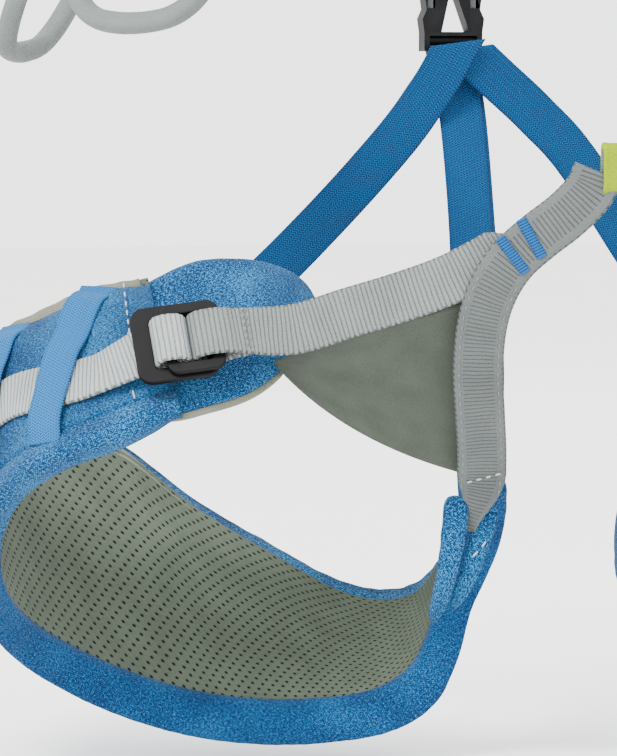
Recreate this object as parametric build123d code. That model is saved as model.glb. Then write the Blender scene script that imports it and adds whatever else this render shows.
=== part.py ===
from build123d import *
import os
from math import cos, radians, sin

os.makedirs("parts", exist_ok=True)

# A sit harness, in millimetres. +Z is up, the wearer faces -Y, and the wearer's right is -X.
# The origin is the centre of the waist opening. The right leg is built and mirrored.

# ---- driving dimensions ----
GAP = 0.3                       # clearance between layers and neighbouring pieces
WEB_T = 1.8                     # thickness of every woven strap
LINING_T = 1.2
FOAM_T = 6.0
COVER_T = 1.2
EDGE_T = 1.4                    # binding over the pad edges
FOAM_INSET = 1.5                # the foam stops this far short of the pad's edges

WAIST_A = 150.0                 # half width of the waist opening
WAIST_B = 103.0                 # half depth of the waist opening
WAIST_RISE = 48.0               # the belt climbs this much to the back
WAIST_FRONT_H = 40.0
WAIST_BACK_H = 70.0
WAIST_WEB_W = 25.0
WAIST_START = 44.0              # degrees from the front where the waist pad starts
WAIST_BUCKLE_AT = 31.0

LEG_A = 84.0                    # half width of the leg opening
LEG_B = 71.0                    # half depth of the leg opening
LEG_X = 117.5                   # distance of a thigh's axis from the middle
LEG_Y = -20.0
LEG_Z = -230.0
LEG_TILT = 44.0                 # the leg loop hangs lower at the front of its axis
LEG_WEB_W = 17.0
LEG_START = 23.0                # degrees from the front where the leg pad starts
LEG_END = 286.0                 # where it ends on the inner thigh
LEG_BUCKLE_AT = 20.0
LEG_BUCKLE_H = 17.0

TIE_Y = -121.0                  # the tie-in points stand in front of the wearer
UPPER_TIE_Z = -4.0
LOWER_TIE_Z = -103.0
SHEATH_HALF = 19.0              # half length of a tie-in protector
BELAY_IN_Y = 7.5                # half of the belay loop's inner width
ELASTIC_W = 17.0
ELASTIC_T = 1.4
BACK_BUCKLE_Y = 98.0
BACK_BUCKLE_Z = -63.0           # bottom bar of the release buckle
LOOP_R = 3.4                    # radius of a gear loop with its sheath
LOOP_CORE_R = 2.5

PAD_T = LINING_T + FOAM_T + COVER_T + 2 * GAP   # the whole pad, with the gaps between its layers


def vec(x, y, z):
    return Vector(x, y, z)


def curve(table, at):
    """A smooth value between the (angle, value) pairs of a table."""
    if at <= table[0][0]:
        return table[0][1]
    if at >= table[-1][0]:
        return table[-1][1]
    k = max(i for i in range(len(table) - 1) if table[i][0] <= at)
    (x0, y0), (x1, y1) = table[k], table[k + 1]

    def slope(i):
        if i == 0 or i == len(table) - 1:
            return 0.0
        return (table[i + 1][1] - table[i - 1][1]) / (table[i + 1][0] - table[i - 1][0])

    t = (at - x0) / (x1 - x0)
    m0, m1 = slope(k) * (x1 - x0), slope(k + 1) * (x1 - x0)
    return ((2 * t ** 3 - 3 * t ** 2 + 1) * y0 + (t ** 3 - 2 * t ** 2 + t) * m0
            + (3 * t ** 2 - 2 * t ** 3) * y1 + (t ** 3 - t ** 2) * m1)


def steps(low, high, count):
    return [low + (high - low) * i / (count - 1) for i in range(count)]


def loft(quads, ruled=False):
    """A closed solid through four-cornered sections."""
    wires = [Wire.make_polygon(list(quad), close=True) for quad in quads]
    return Solid.make_loft(wires, ruled)


def write(name, *solids):
    export_step(Compound(children=list(solids)) if len(solids) > 1 else solids[0], f"parts/{name}.step")


def mirror_x(solid):
    return solid.mirror(Plane.YZ)


def write_pair(name, *solids):
    """The right piece, and its mirror image for the left."""
    for side in ("right", "left"):
        made = [s if side == "right" else mirror_x(s) for s in solids]
        write(name.replace("SIDE", side), *made)


# ---- straps: a flat section carried along a list of points ----
def strap(points, facing, width, thick):
    """A strap along points; facing is the direction that its broad face looks to at each point."""
    if not isinstance(facing, list):
        facing = [facing] * len(points)
    quads = []
    for i, point in enumerate(points):
        before, after = points[max(i - 1, 0)], points[min(i + 1, len(points) - 1)]
        along = (after - before).normalized()
        face = (facing[i] - along * facing[i].dot(along)).normalized()
        across = along.cross(face).normalized()
        half_w, half_t = across * (width / 2), face * (thick / 2)
        quads.append([point - half_w - half_t, point + half_w - half_t,
                      point + half_w + half_t, point - half_w + half_t])
    return loft(quads)


# ---- the two rings: a point on each from angle, height and distance outwards ----
TILT = radians(LEG_TILT)
LEG_CENTRE = vec(-LEG_X, LEG_Y, LEG_Z)
LEG_OUT = vec(-1, 0, 0)
LEG_FRONT = vec(0, -cos(TILT), sin(TILT))
LEG_AXIS = vec(0, sin(TILT), cos(TILT))


def leg_point(angle, height, out):
    """0 is the front of the thigh, 90 its outer side, 180 the back and 270 the inner side."""
    a = radians(angle)
    return (LEG_CENTRE + LEG_OUT * ((LEG_A + out) * sin(a)) + LEG_FRONT * ((LEG_B + out) * cos(a))
            + LEG_AXIS * height)


def waist_point(angle, z, out):
    a = radians(angle)
    return vec(-(WAIST_A + out) * sin(a), -(WAIST_B + out) * cos(a), z)


def waist_mid(angle):
    return WAIST_RISE * (1 - cos(radians(angle))) / 2


def waist_half(angle):
    return (WAIST_FRONT_H + (WAIST_BACK_H - WAIST_FRONT_H) * (1 - cos(radians(angle))) / 2) / 2


# Edges of the leg pad: height against angle.
LEG_TOP = [(23, 59), (53, 60), (90, 76), (125, 100), (155, 106), (174, 97), (190, 68), (204, 44),
           (222, 13), (239, -1), (252, 2), (270, 8), (286, 12)]
LEG_LOW = [(23, -2), (31, -5.5), (40, -7), (57, -3), (73, 0), (90, -1), (105, -5), (140, -6),
           (157, -10), (187, -22), (206, -29), (222, -34), (234, -32), (243, -22), (252, -9),
           (270, -4), (286, -3)]
LEG_BEVEL = [(26, 0), (73, -1), (105, -4), (150, -8), (187, -9), (240, -8), (262, -4), (286, 0)]
LOAD_PATH = [(33, 17), (47, 21), (60, 29), (75, 32), (90, 34), (110, 38), (130, 42), (150, 42)]
LOAD_LIFT = [(33, 1.8), (42, 0), (150, 0)]
LEG_THICK = [(26, 1.0), (240, 1.0), (262, 1.15), (286, 1.35)]


def leg_quad(angle, inner, outer, grow=0.0):
    """The pad's section between two distances from the thigh; grow moves both edges outwards."""
    scale = curve(LEG_THICK, angle)
    corners = []
    for out, edge in ((inner, LEG_LOW), (inner, LEG_TOP), (outer, LEG_TOP), (outer, LEG_LOW)):
        height = curve(edge, angle)
        if edge is LEG_LOW:
            height += curve(LEG_BEVEL, angle) * out / PAD_T - grow
        else:
            height += grow
        corners.append(leg_point(angle, height, out * scale))
    return corners


def leg_layer(inner, outer, grow, start, end, count):
    return loft([leg_quad(angle, inner, outer, grow) for angle in steps(start, end, count)], ruled=True)


def edge_strip(edge, sign, start, end, count):
    """Binding along one edge of the leg pad, from its inner face to its outer face."""
    quads = []
    for angle in steps(start, end, count):
        scale = curve(LEG_THICK, angle)
        quad = []
        for out, lift in ((0, GAP), (PAD_T, GAP), (PAD_T, GAP + EDGE_T), (0, GAP + EDGE_T)):
            height = curve(edge, angle) + sign * lift
            if edge is LEG_LOW:
                height += curve(LEG_BEVEL, angle) * out / PAD_T
            quad.append(leg_point(angle, height, out * scale))
        quads.append(quad)
    return loft(quads, ruled=True)


def waist_layer(inner, outer, shrink, start, end, count):
    quads = []
    for angle in steps(start, end, count):
        mid, half = waist_mid(angle), waist_half(angle) - shrink
        quads.append([waist_point(angle, mid - half, inner), waist_point(angle, mid + half, inner),
                      waist_point(angle, mid + half, outer), waist_point(angle, mid - half, outer)])
    return loft(quads)


# ---- slide-block buckle, in its own frame: x along the strap, y across it, z outwards ----
RAIL_LEFT = 6.3
RAIL_RIGHT = 4.0
RAIL_SIDE = 5.0
FRAME_L = 28.0
FRAME_T = 2.4
PLATE_T = 2.2
SLOT_CLEAR = 0.5
SLIDER_BACK = 1.4
SLIDER_FORTH = 2.4


def rounded_plate(x0, x1, half_y, z0, z1, radius):
    sketch = Pos((x0 + x1) / 2, 0, z0) * RectangleRounded(x1 - x0, 2 * half_y, radius)
    return extrude(sketch, z1 - z0)


def buckle(width):
    """Frame, slider, the strap loop sewn round the right rails and the tail's turn over the slider."""
    half = width / 2 + SLOT_CLEAR
    x0, x1 = -15.0, -15.0 + FRAME_L
    frame = rounded_plate(x0, x1, half + RAIL_SIDE, 0, FRAME_T, 5.0)
    frame -= rounded_plate(x0 + RAIL_LEFT, x1 - RAIL_RIGHT, half, -1, FRAME_T + 1, 1.2)
    z0 = FRAME_T + GAP
    slider = rounded_plate(-5.0, 15.0, half + RAIL_SIDE - 1.2, z0, z0 + PLATE_T, 4.0)
    slider -= rounded_plate(-1.6, 10.6, half, z0 - 1, z0 + PLATE_T + 1, 1.2)
    top = z0 + PLATE_T + GAP
    y0 = -width / 2

    def block(xa, xb, za, zb):
        return Pos(xa, y0, za) * Box(xb - xa, width, zb - za, align=(Align.MIN, Align.MIN, Align.MIN))

    turn_left = -5.0 - SLIDER_BACK - 0.2
    turn_right = -1.6 + SLIDER_FORTH + 0.2
    turn = block(turn_left - WEB_T, turn_right + WEB_T, GAP, top + WEB_T)
    turn -= block(turn_left, turn_right, -1, top)
    turn = fillet(turn.edges().filter_by(Axis.Y).sort_by(Axis.Z)[-2:], WEB_T)
    loop_left = 7.0
    loop = block(loop_left - WEB_T, 21.0, -GAP - WEB_T, top + WEB_T)
    loop -= block(loop_left, 17.6, -GAP, top)
    loop = fillet(loop.edges().filter_by(Axis.Y).group_by(Axis.X)[0], WEB_T)
    return frame, slider, turn, loop


def placed(shape, origin, along, outward):
    """Moves a buckle-frame shape to a point, with x along the strap and z outwards."""
    z = (outward - along * outward.dot(along)).normalized()
    return Plane(origin=origin, x_dir=along, z_dir=z).location * shape


# ---- one leg (the wearer's right) ----
def build_leg():
    count = 54
    foam_in = LINING_T + GAP
    lining = leg_layer(0, LINING_T, 0, LEG_START, LEG_END, count)
    foam = leg_layer(foam_in, foam_in + FOAM_T, -FOAM_INSET, LEG_START + 1, LEG_END - 2, count)
    cover = leg_layer(PAD_T - COVER_T, PAD_T, 0, LEG_START, LEG_END, count)
    low_edge = edge_strip(LEG_LOW, -1, LEG_START, LEG_END, count)
    top_edge = edge_strip(LEG_TOP, 1, LEG_START, LEG_END, count)
    write_pair("leg_SIDE_lining", lining)
    write_pair("leg_SIDE_foam", foam)
    write_pair("leg_SIDE_cover", cover)
    write_pair("leg_SIDE_binding", low_edge, top_edge)

    # The tongue laps under the pad's front end and rounds off towards the groin.
    tongue_top = [(-18, 48), (-16, 56), (-11, 62), (-4, 65), (10, 66), (20, 62), (30, 57), (45, 56)]
    tongue_low = [(-18, 44), (-14, 36), (-9, 26), (-3, 13), (7, 3), (20, 0), (30, -4), (45, -5)]
    quads = []
    for angle in (-18, -16, -12, -7, 0, 8, 16, 26, 36, 45):
        low, high = curve(tongue_low, angle), curve(tongue_top, angle)
        quads.append([leg_point(angle, low, -GAP - 3.2), leg_point(angle, high, -GAP - 3.2),
                      leg_point(angle, high, -GAP), leg_point(angle, low, -GAP)])
    write_pair("leg_SIDE_tongue", loft(quads))

    # Load webbing round the pad, from the inner end to the buckle.
    web_in = PAD_T + GAP
    quads = []
    for angle in steps(33, 150, 17):
        height = curve(LOAD_PATH, angle)
        lift = curve(LOAD_LIFT, angle)
        low, high = height - LEG_WEB_W / 2, height + LEG_WEB_W / 2
        under = web_in + lift
        over = under + WEB_T
        quads.append([leg_point(angle, low, under), leg_point(angle, high, under),
                      leg_point(angle, high, over), leg_point(angle, low, over)])
    load = loft(quads)
    centre = leg_point(LEG_BUCKLE_AT, LEG_BUCKLE_H, PAD_T + 5.0)
    along = vec(0.965, -0.19, 0.13).normalized()
    outward = vec(-0.28, -0.84, 0.46)
    frame, slider, turn, loop = [placed(s, centre, along, outward) for s in buckle(LEG_WEB_W)]
    write_pair("leg_SIDE_load_webbing", load, turn)
    write_pair("leg_SIDE_buckle_frame", frame)
    write_pair("leg_SIDE_slider", slider)

    # Front strap from the buckle to the junction below the tie-in point.
    z = (outward - along * outward.dot(along)).normalized()
    start = centre + along * (21.0 + GAP) + z * 2.4
    points = [start, vec(-112, -72, -157.5), vec(-96, -80, -152), vec(-80, -88, -146.6), vec(-64, -97, -141)]
    faces = [outward] + [FRONT_FACE] * (len(points) - 1)
    write_pair("leg_SIDE_front_strap", loop, strap(points, faces, LEG_WEB_W, WEB_T))

    # Bridge strap: from the lower tie-in over the junction and down to the pad's inner end.
    points = [vec(-SHEATH_HALF - 5.2, TIE_Y + 2, LOWER_TIE_Z - 4), vec(-29, -116, -113),
              vec(-38, -112.5, -122.5), vec(-46, -108, -131), vec(-50.5, -101, -143), vec(-51, -90, -160),
              vec(-47.5, -77, -177), vec(-42, -62, -195), vec(-37, -48, -212), vec(-34, -38, -223)]
    write_pair("leg_SIDE_bridge_strap", strap(points, FRONT_FACE, LEG_WEB_W, WEB_T + 0.8))

    # Knit gusset behind the two straps.
    corner = vec(-61.5, -90.5, -149)
    tip = vec(-115.5, -65, -168)
    low = vec(-49.5, -51.5, -207)
    mid = (tip + low) * 0.5 + vec(-6, 0, -5)
    across = FRONT_FACE.normalized()
    quads = []
    for t in steps(0.0, 1.0, 6):
        top = corner + (tip - corner) * (0.02 + 0.94 * t)
        bottom = low * (1 - t) ** 2 + mid * (2 * t * (1 - t)) + tip * t ** 2
        bottom = bottom + (top - bottom) * 0.06
        quads.append([top, bottom, bottom - across * 1.2, top - across * 1.2])
    write_pair("leg_SIDE_gusset", loft(quads[:-1]))

    # Elastic keepers over the load webbing.
    keepers = []
    for top, bottom in (((36, 55), (50, 2)), ((50, 56), (64, 12)), ((92, 66), (96, 6))):
        quads = []
        for t in steps(0.0, 1.0, 9):
            angle = top[0] + (bottom[0] - top[0]) * t
            height = top[1] + (bottom[1] - top[1]) * t
            near = abs(height - curve(LOAD_PATH, angle)) < LEG_WEB_W / 2 + 7
            inner = web_in + (WEB_T + GAP + curve(LOAD_LIFT, angle) if near else 0)
            quads.append([leg_point(angle - 3.4, height, inner), leg_point(angle + 3.4, height, inner),
                          leg_point(angle + 3.4, height, inner + 1),
                          leg_point(angle - 3.4, height, inner + 1)])
        keepers.append(loft(quads, ruled=True))
    write_pair("leg_SIDE_keepers", *keepers)


FRONT_FACE = vec(-0.29, -0.95, 0.1)


# ---- waist belt ----
def build_waist():
    start, end, count = WAIST_START, 360 - WAIST_START, 25
    write("waist_lining", waist_layer(0, LINING_T, 0, start, end, count))
    foam_in = LINING_T + GAP
    write("waist_foam", waist_layer(foam_in, foam_in + FOAM_T, FOAM_INSET, start + 1, end - 1, count))
    write("waist_cover", waist_layer(PAD_T - COVER_T, PAD_T, 0, start, end, count))
    edges = []
    for sign in (-1, 1):
        quads = []
        for angle in steps(start, end, count):
            z0 = waist_mid(angle) + sign * (waist_half(angle) + GAP)
            z1 = z0 + sign * EDGE_T
            quads.append([waist_point(angle, z0, 0), waist_point(angle, z0, PAD_T),
                          waist_point(angle, z1, PAD_T), waist_point(angle, z1, 0)])
        edges.append(loft(quads))
    write("waist_binding", *edges)

    web_in = PAD_T + GAP

    def waist_strap(angles, out, width):
        quads = []
        for angle in angles:
            mid = waist_mid(angle)
            quads.append([waist_point(angle, mid - width / 2, out), waist_point(angle, mid + width / 2, out),
                          waist_point(angle, mid + width / 2, out + WEB_T),
                          waist_point(angle, mid - width / 2, out + WEB_T)])
        return loft(quads)

    tail_start = WAIST_BUCKLE_AT + 11
    webbing = waist_strap(steps(tail_start, 360 - tail_start, 25), web_in, WAIST_WEB_W)

    # Buckles near the front, one on each side.
    centre = waist_point(WAIST_BUCKLE_AT, waist_mid(WAIST_BUCKLE_AT), PAD_T + 4.5)
    a = radians(WAIST_BUCKLE_AT)
    along = vec((WAIST_A + PAD_T) * cos(a), -(WAIST_B + PAD_T) * sin(a), 0).normalized()
    outward = vec(along.Y, -along.X, 0)
    frame, slider, turn, loop = [placed(s, centre, along, outward) for s in buckle(WAIST_WEB_W)]
    write("waist_webbing", webbing, turn, mirror_x(turn))
    write("waist_buckle_frames", frame, mirror_x(frame))
    write_pair("waist_slider_SIDE", slider)
    first = centre + along * (21.0 + GAP) + outward * 2.4
    tie_end = vec(-SHEATH_HALF - GAP - 3.5, TIE_Y + 1.0, UPPER_TIE_Z)
    run = tie_end - first
    points = [first, first + run * 0.35 + outward * 0.8, first + run * 0.7 + outward * 0.8, tie_end]
    front = strap(points, outward * 0.5 + vec(0, -1, 0) * 0.5, WAIST_WEB_W - 3, WEB_T)
    write("waist_front_straps", loop, front, mirror_x(loop), mirror_x(front))

    # Strap tails, held flat over the webbing by keepers.
    tail = waist_strap(steps(54, 84, 7), web_in + WEB_T + GAP, WAIST_WEB_W - 1)
    write("waist_strap_tails", tail, mirror_x(tail))
    keepers = []
    for at in (60, 78):
        out0 = web_in + 2 * WEB_T + 2 * GAP
        mid = waist_mid(at)
        quads = []
        for z in (mid - WAIST_WEB_W / 2 - 6, mid - WAIST_WEB_W / 2 - 1, mid + WAIST_WEB_W / 2 + 1,
                  mid + WAIST_WEB_W / 2 + 6):
            out = web_in if abs(z - mid) > WAIST_WEB_W / 2 + 2 else out0
            quads.append([waist_point(at - 2.5, z, out), waist_point(at + 2.5, z, out),
                          waist_point(at + 2.5, z, out + 1), waist_point(at - 2.5, z, out + 1)])
        keepers.append(loft(quads, ruled=True))
    write("waist_tail_keepers", *keepers, *[mirror_x(k) for k in keepers])


# ---- gear loops: a stiff tube that hangs from two tabs on the belt ----
GEAR_LOOPS = (("front", 54, 93, 54, 10), ("rear", 106, 132, 76, 32))


def build_gear_loops():
    tabs = []
    for name, first, last, drop, splay in GEAR_LOOPS:
        ends = []
        for angle in (first, last):
            low = waist_mid(angle) - waist_half(angle) + 1.5
            z = low + 5
            ends.append(waist_point(angle, z, PAD_T + GAP + LOOP_R + 1.2))
            high = waist_mid(angle - 3.2) - WAIST_WEB_W / 2 - 2 * GAP
            under = PAD_T + GAP
            tab = [waist_point(angle - 3.2, low, under), waist_point(angle + 3.2, low, under)]
            tab += [waist_point(angle + 3.2, low, under + 1), waist_point(angle - 3.2, low, under + 1)]
            tabs.append(loft([tab, [p + vec(0, 0, high - low) for p in tab]]))
        start, end = ends
        mid = (start + end) * 0.5
        out = vec(mid.X, mid.Y, 0).normalized()
        bottom = mid.Z - drop
        chord = end - start

        def at(share, fall, away):
            spot = start + chord * share
            return vec(spot.X, spot.Y, spot.Z + (bottom - spot.Z) * fall) + out * away

        points = [start, at(-0.02, 0.55, splay * 0.6), at(0.14, 0.93, splay), at(0.5, 1.0, splay * 1.15),
                  at(0.86, 0.93, splay), at(1.02, 0.55, splay * 0.6), end]
        path = FilletPolyline(*points, radius=[14, 12, 34, 12, 14])
        for part, outer, inner in (("sheath", LOOP_R, LOOP_CORE_R + 0.1), ("core", LOOP_CORE_R, 0)):
            profile = Plane(origin=path @ 0, z_dir=path % 0) * Circle(outer)
            if inner:
                profile -= Plane(origin=path @ 0, z_dir=path % 0) * Circle(inner)
            tube = sweep(profile, path=path)
            write_pair(f"gear_loop_{name}_SIDE_{part}", tube.solids()[0])
    write("gear_loop_tabs", *tabs, *[mirror_x(t) for t in tabs])


# ---- tie-in points and belay loop ----
def build_front():
    # Each tie-in point is a folded strap that bows forwards, inside a slit sleeve.
    def bow(z, half, y_end, y_mid, out):
        points = [vec(x, y_mid + (y_end - y_mid) * (x / half) ** 2 - out, z) for x in steps(-half, half, 7)]
        return points

    upper = bow(UPPER_TIE_Z, SHEATH_HALF + 2, TIE_Y + 1, TIE_Y, 0)
    lower = bow(LOWER_TIE_Z, SHEATH_HALF, TIE_Y + 1.5, TIE_Y, 0)
    face = vec(0, -1, 0)
    write("upper_tie_in_loop", strap(upper, face, 14, 2.4))
    write("lower_tie_in_bridge", strap(lower, face, 13, 2.4))
    for name, points, width in (("upper", upper[1:-1], 14), ("lower", lower, 13)):
        outer = strap(points, face, width + 4, 2.4 + 2 * GAP + 2.2)
        inner = strap(points, face, width + 2 * GAP, 2.4 + 2 * GAP)
        write(f"{name}_tie_in_sheath", outer - inner)

    # Belay loop: a flat band that runs round both tie-in points.
    top, bottom = UPPER_TIE_Z + 12, LOWER_TIE_Z - 12
    width = 15.0
    thick = 3.0

    def racetrack(half, grow):
        height = top - bottom + 2 * grow
        return SlotOverall(height, 2 * half) if height > 2 * half else Circle(half)

    ring = racetrack(BELAY_IN_Y + thick, thick) - racetrack(BELAY_IN_Y, 0)
    frame = Plane(origin=vec(-width / 2, TIE_Y, (top + bottom) / 2), x_dir=vec(0, 0, 1), z_dir=vec(1, 0, 0))
    loop = extrude(frame * ring, width)
    write("belay_loop", loop)
    patch = Pos(0, TIE_Y - BELAY_IN_Y - thick - 0.2 - 0.6, (top + bottom) / 2) * Box(width + 1, 1.2, 34)
    write("belay_loop_sleeve", patch)


# ---- release buckle and elastic risers at the back ----
def build_back():
    y, z = BACK_BUCKLE_Y, BACK_BUCKLE_Z
    t = 7.0
    upright = Plane(origin=vec(0, y + t / 2, z), x_dir=vec(1, 0, 0), z_dir=vec(0, -1, 0))

    # Socket: shoulders over an open triangle, side channels for the prongs, a slot and bar below.
    outline = [(-11.3, 0), (11.3, 0), (11.3, 7), (12, 12), (10.4, 15.5), (11.2, 21), (10.4, 27),
               (-10.4, 27), (-11.2, 21), (-10.4, 15.5), (-12, 12), (-11.3, 7)]
    body = extrude(upright * make_face(Polyline(*outline, close=True)), t)
    triangle = Polyline((-4.6, 7.2), (6.2, 7.2), (1.9, 19.2), (-1.9, 19.2), close=True)
    body -= extrude(upright * make_face(triangle), t)
    body -= extrude(upright * Pos(0, 4.0) * Rectangle(18.4, 3.4), t)
    for side in (-1, 1):
        body -= extrude(upright * Pos(side * 8.3, 21.5) * Rectangle(3.4, 11.1), t)
        channel = Pos(side * 8.3, y, z + 23) * Box(3.6, 3.2, 30)
        body -= channel & (Pos(0, y, z + 22) * Box(40, 20, 12))
    body -= Pos(0, y, z + 25) * Box(8.6, 3.2, 6)
    write("rear_buckle_socket", body)

    # Clip: a plate with the strap's slot, a guide tongue and two prongs that flex inwards.
    base = z + 27 + GAP
    clip = Pos(0, y, base + 5) * Box(20, t, 10)
    clip = fillet(clip.edges().filter_by(Axis.Y), 2.0)
    clip -= Pos(0, y, base + 5.4) * Box(18.4 - 2, t + 2, 3.4)
    guide = Pos(0, y, base - 1.9) * Box(8.0, 2.6, 4.0)
    write("rear_buckle_clip", clip + guide)
    prong = Pos(-8.3, y, base - 5.5 - GAP) * Box(2.2, 2.6, 11.0)
    boss = Pos(-8.3, y, z + 20.5) * Cylinder(1.3, 3.0, rotation=(90, 0, 0))
    write_pair("rear_buckle_prong_SIDE", prong + boss)

    # Hang strap from the belt down through the clip.
    belt_low = waist_mid(180) - waist_half(180)
    top = vec(0, WAIST_B + PAD_T + 4.5, belt_low + 12)
    points = [top, vec(0, WAIST_B + PAD_T + 4.5, belt_low + 2), vec(0, y + 8, belt_low - 8),
              vec(0, y, base + 10 + 2 * GAP)]
    write("rear_hang_strap", strap(points, vec(0, 1, 0), 16.0, ELASTIC_T))

    # Risers: outer ones spread to the pads' back edges, inner ones run down and split.
    front_y = y - t / 2 - 1.5
    back_y = y + t / 2 + 1.2
    hook = leg_point(172, curve(LEG_TOP, 172) - 10, PAD_T + 1.6)
    lead = leg_point(172, curve(LEG_TOP, 172) + 12, PAD_T + 3.0)
    sewn_face = LEG_FRONT
    # Each outer riser's run: distance to its side and height below the bar, down to the leg pad.
    runs = (("right", -1, -2 * ELASTIC_T - 4 * GAP, ((0, 2), (11, -14.5), (27.5, -36.5), (66, -76))),
            ("left", 1, -ELASTIC_T, ((4, 1), (16, -9), (34, -24), (52, -42), (85, -87))))
    for name, side, lay, run in runs:
        points = []
        for across, drop in run:
            share = across / abs(lead.X)
            points.append(vec(side * across, front_y + lay + (lead.Y - front_y - lay) * share, z + drop))
        points += [vec(side * abs(end.X), end.Y, end.Z) for end in (lead, hook)]
        facing = [vec(0, -1, 0)] * (len(points) - 2) + [vec(0, -0.9, 0.4), sewn_face]
        write(f"riser_outer_{name}", strap(points, facing, ELASTIC_W, ELASTIC_T))

    # The centre riser is a doubled elastic; both layers run down to the right leg's inner end.
    back = vec(0, -1, 0)
    route = ((vec(0, back_y, z + 2), back), (vec(3.5, back_y - 6, z - 23), back),
             (vec(1.5, back_y - 27, z - 67), back), (vec(-4, 50, z - 107), back),
             (vec(-12, 26, z - 138), vec(-0.5, -0.85, 0)),
             (leg_point(258, 10, PAD_T * 1.15 + 4.5), vec(-0.9, -0.4, 0)),
             (leg_point(258, -2, PAD_T * 1.15 + 2.8), LEG_OUT))
    layers = []
    for lay in (0.0, ELASTIC_T + 2 * GAP):
        points = [point - face * lay + vec(lay, 0, 0) for point, face in route]
        layers.append(strap(points, [face for _, face in route], ELASTIC_W, ELASTIC_T))
    write("riser_centre", *layers)

    # Haul loop on the back of the belt.
    mid_z = waist_mid(180)
    out = WAIST_B + PAD_T + WEB_T + 2 * GAP
    points = [vec(0, out + 1, mid_z + 14), vec(0, out + 7, mid_z + 9), vec(0, out + 9, mid_z),
              vec(0, out + 7, mid_z - 9), vec(0, out + 1, mid_z - 14)]
    write("haul_loop", strap(points, vec(0, 1, 0), 10.0, 1.6))


build_leg()
build_waist()
build_gear_loops()
build_front()
build_back()
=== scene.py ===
import math

import bmesh
import bpy
import numpy as np
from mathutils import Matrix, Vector, noise


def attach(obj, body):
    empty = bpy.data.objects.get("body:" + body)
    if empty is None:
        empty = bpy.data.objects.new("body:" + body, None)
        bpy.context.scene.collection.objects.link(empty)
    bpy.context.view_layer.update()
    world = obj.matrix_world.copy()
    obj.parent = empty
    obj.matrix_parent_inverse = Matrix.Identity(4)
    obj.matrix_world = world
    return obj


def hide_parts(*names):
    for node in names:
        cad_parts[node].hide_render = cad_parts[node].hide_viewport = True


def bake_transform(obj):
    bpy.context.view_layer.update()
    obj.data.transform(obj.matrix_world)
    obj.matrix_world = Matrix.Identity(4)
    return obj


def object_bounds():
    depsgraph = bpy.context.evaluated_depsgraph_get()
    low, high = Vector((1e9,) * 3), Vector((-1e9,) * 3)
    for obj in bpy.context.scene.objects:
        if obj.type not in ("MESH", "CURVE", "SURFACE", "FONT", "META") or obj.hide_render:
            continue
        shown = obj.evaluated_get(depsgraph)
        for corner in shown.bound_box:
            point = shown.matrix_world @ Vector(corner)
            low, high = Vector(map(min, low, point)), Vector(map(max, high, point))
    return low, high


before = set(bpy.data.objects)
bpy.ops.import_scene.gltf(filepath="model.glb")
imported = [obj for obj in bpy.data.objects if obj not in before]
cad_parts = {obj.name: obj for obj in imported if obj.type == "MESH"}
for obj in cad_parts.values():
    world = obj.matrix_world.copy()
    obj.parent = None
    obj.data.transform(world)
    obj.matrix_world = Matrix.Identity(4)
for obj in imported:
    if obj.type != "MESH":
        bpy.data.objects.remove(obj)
cad_low, cad_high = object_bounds()

# Lengths here are millimetres, turned into metres where a mesh is made.
# +Z is up, the wearer faces -Y, and the wearer's right is -X.
MM = 0.001
SIDES = ("right", "left")


def vec(x, y, z):
    return Vector((x, y, z))


def curve(table, at):
    """A smooth value between the (place, value) pairs of a table."""
    if at <= table[0][0]:
        return table[0][1]
    if at >= table[-1][0]:
        return table[-1][1]
    k = max(i for i in range(len(table) - 1) if table[i][0] <= at)
    (x0, y0), (x1, y1) = table[k], table[k + 1]

    def slope(i):
        if i == 0 or i == len(table) - 1:
            return 0.0
        return (table[i + 1][1] - table[i - 1][1]) / (table[i + 1][0] - table[i - 1][0])

    t = (at - x0) / (x1 - x0)
    m0, m1 = slope(k) * (x1 - x0), slope(k + 1) * (x1 - x0)
    return ((2 * t ** 3 - 3 * t ** 2 + 1) * y0 + (t ** 3 - 2 * t ** 2 + t) * m0
            + (3 * t ** 2 - 2 * t ** 3) * y1 + (t ** 3 - t ** 2) * m1)


def steps(low, high, count):
    return [low + (high - low) * i / (count - 1) for i in range(count)]


def ease(t):
    t = min(max(t, 0.0), 1.0)
    return t * t * (3 - 2 * t)


def hill(at, middle, width):
    """1 at the middle, falling softly to 0 either side."""
    return math.exp(-((at - middle) / width) ** 2)


def ruffle(seed, *at):
    """A soft random value from -1 to 1 that is the same each run."""
    place = list(at) + [0.0] * (3 - len(at))
    return noise.noise(Vector(place) + Vector((seed * 7.3, seed * 3.1, seed * 5.7)))


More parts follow.
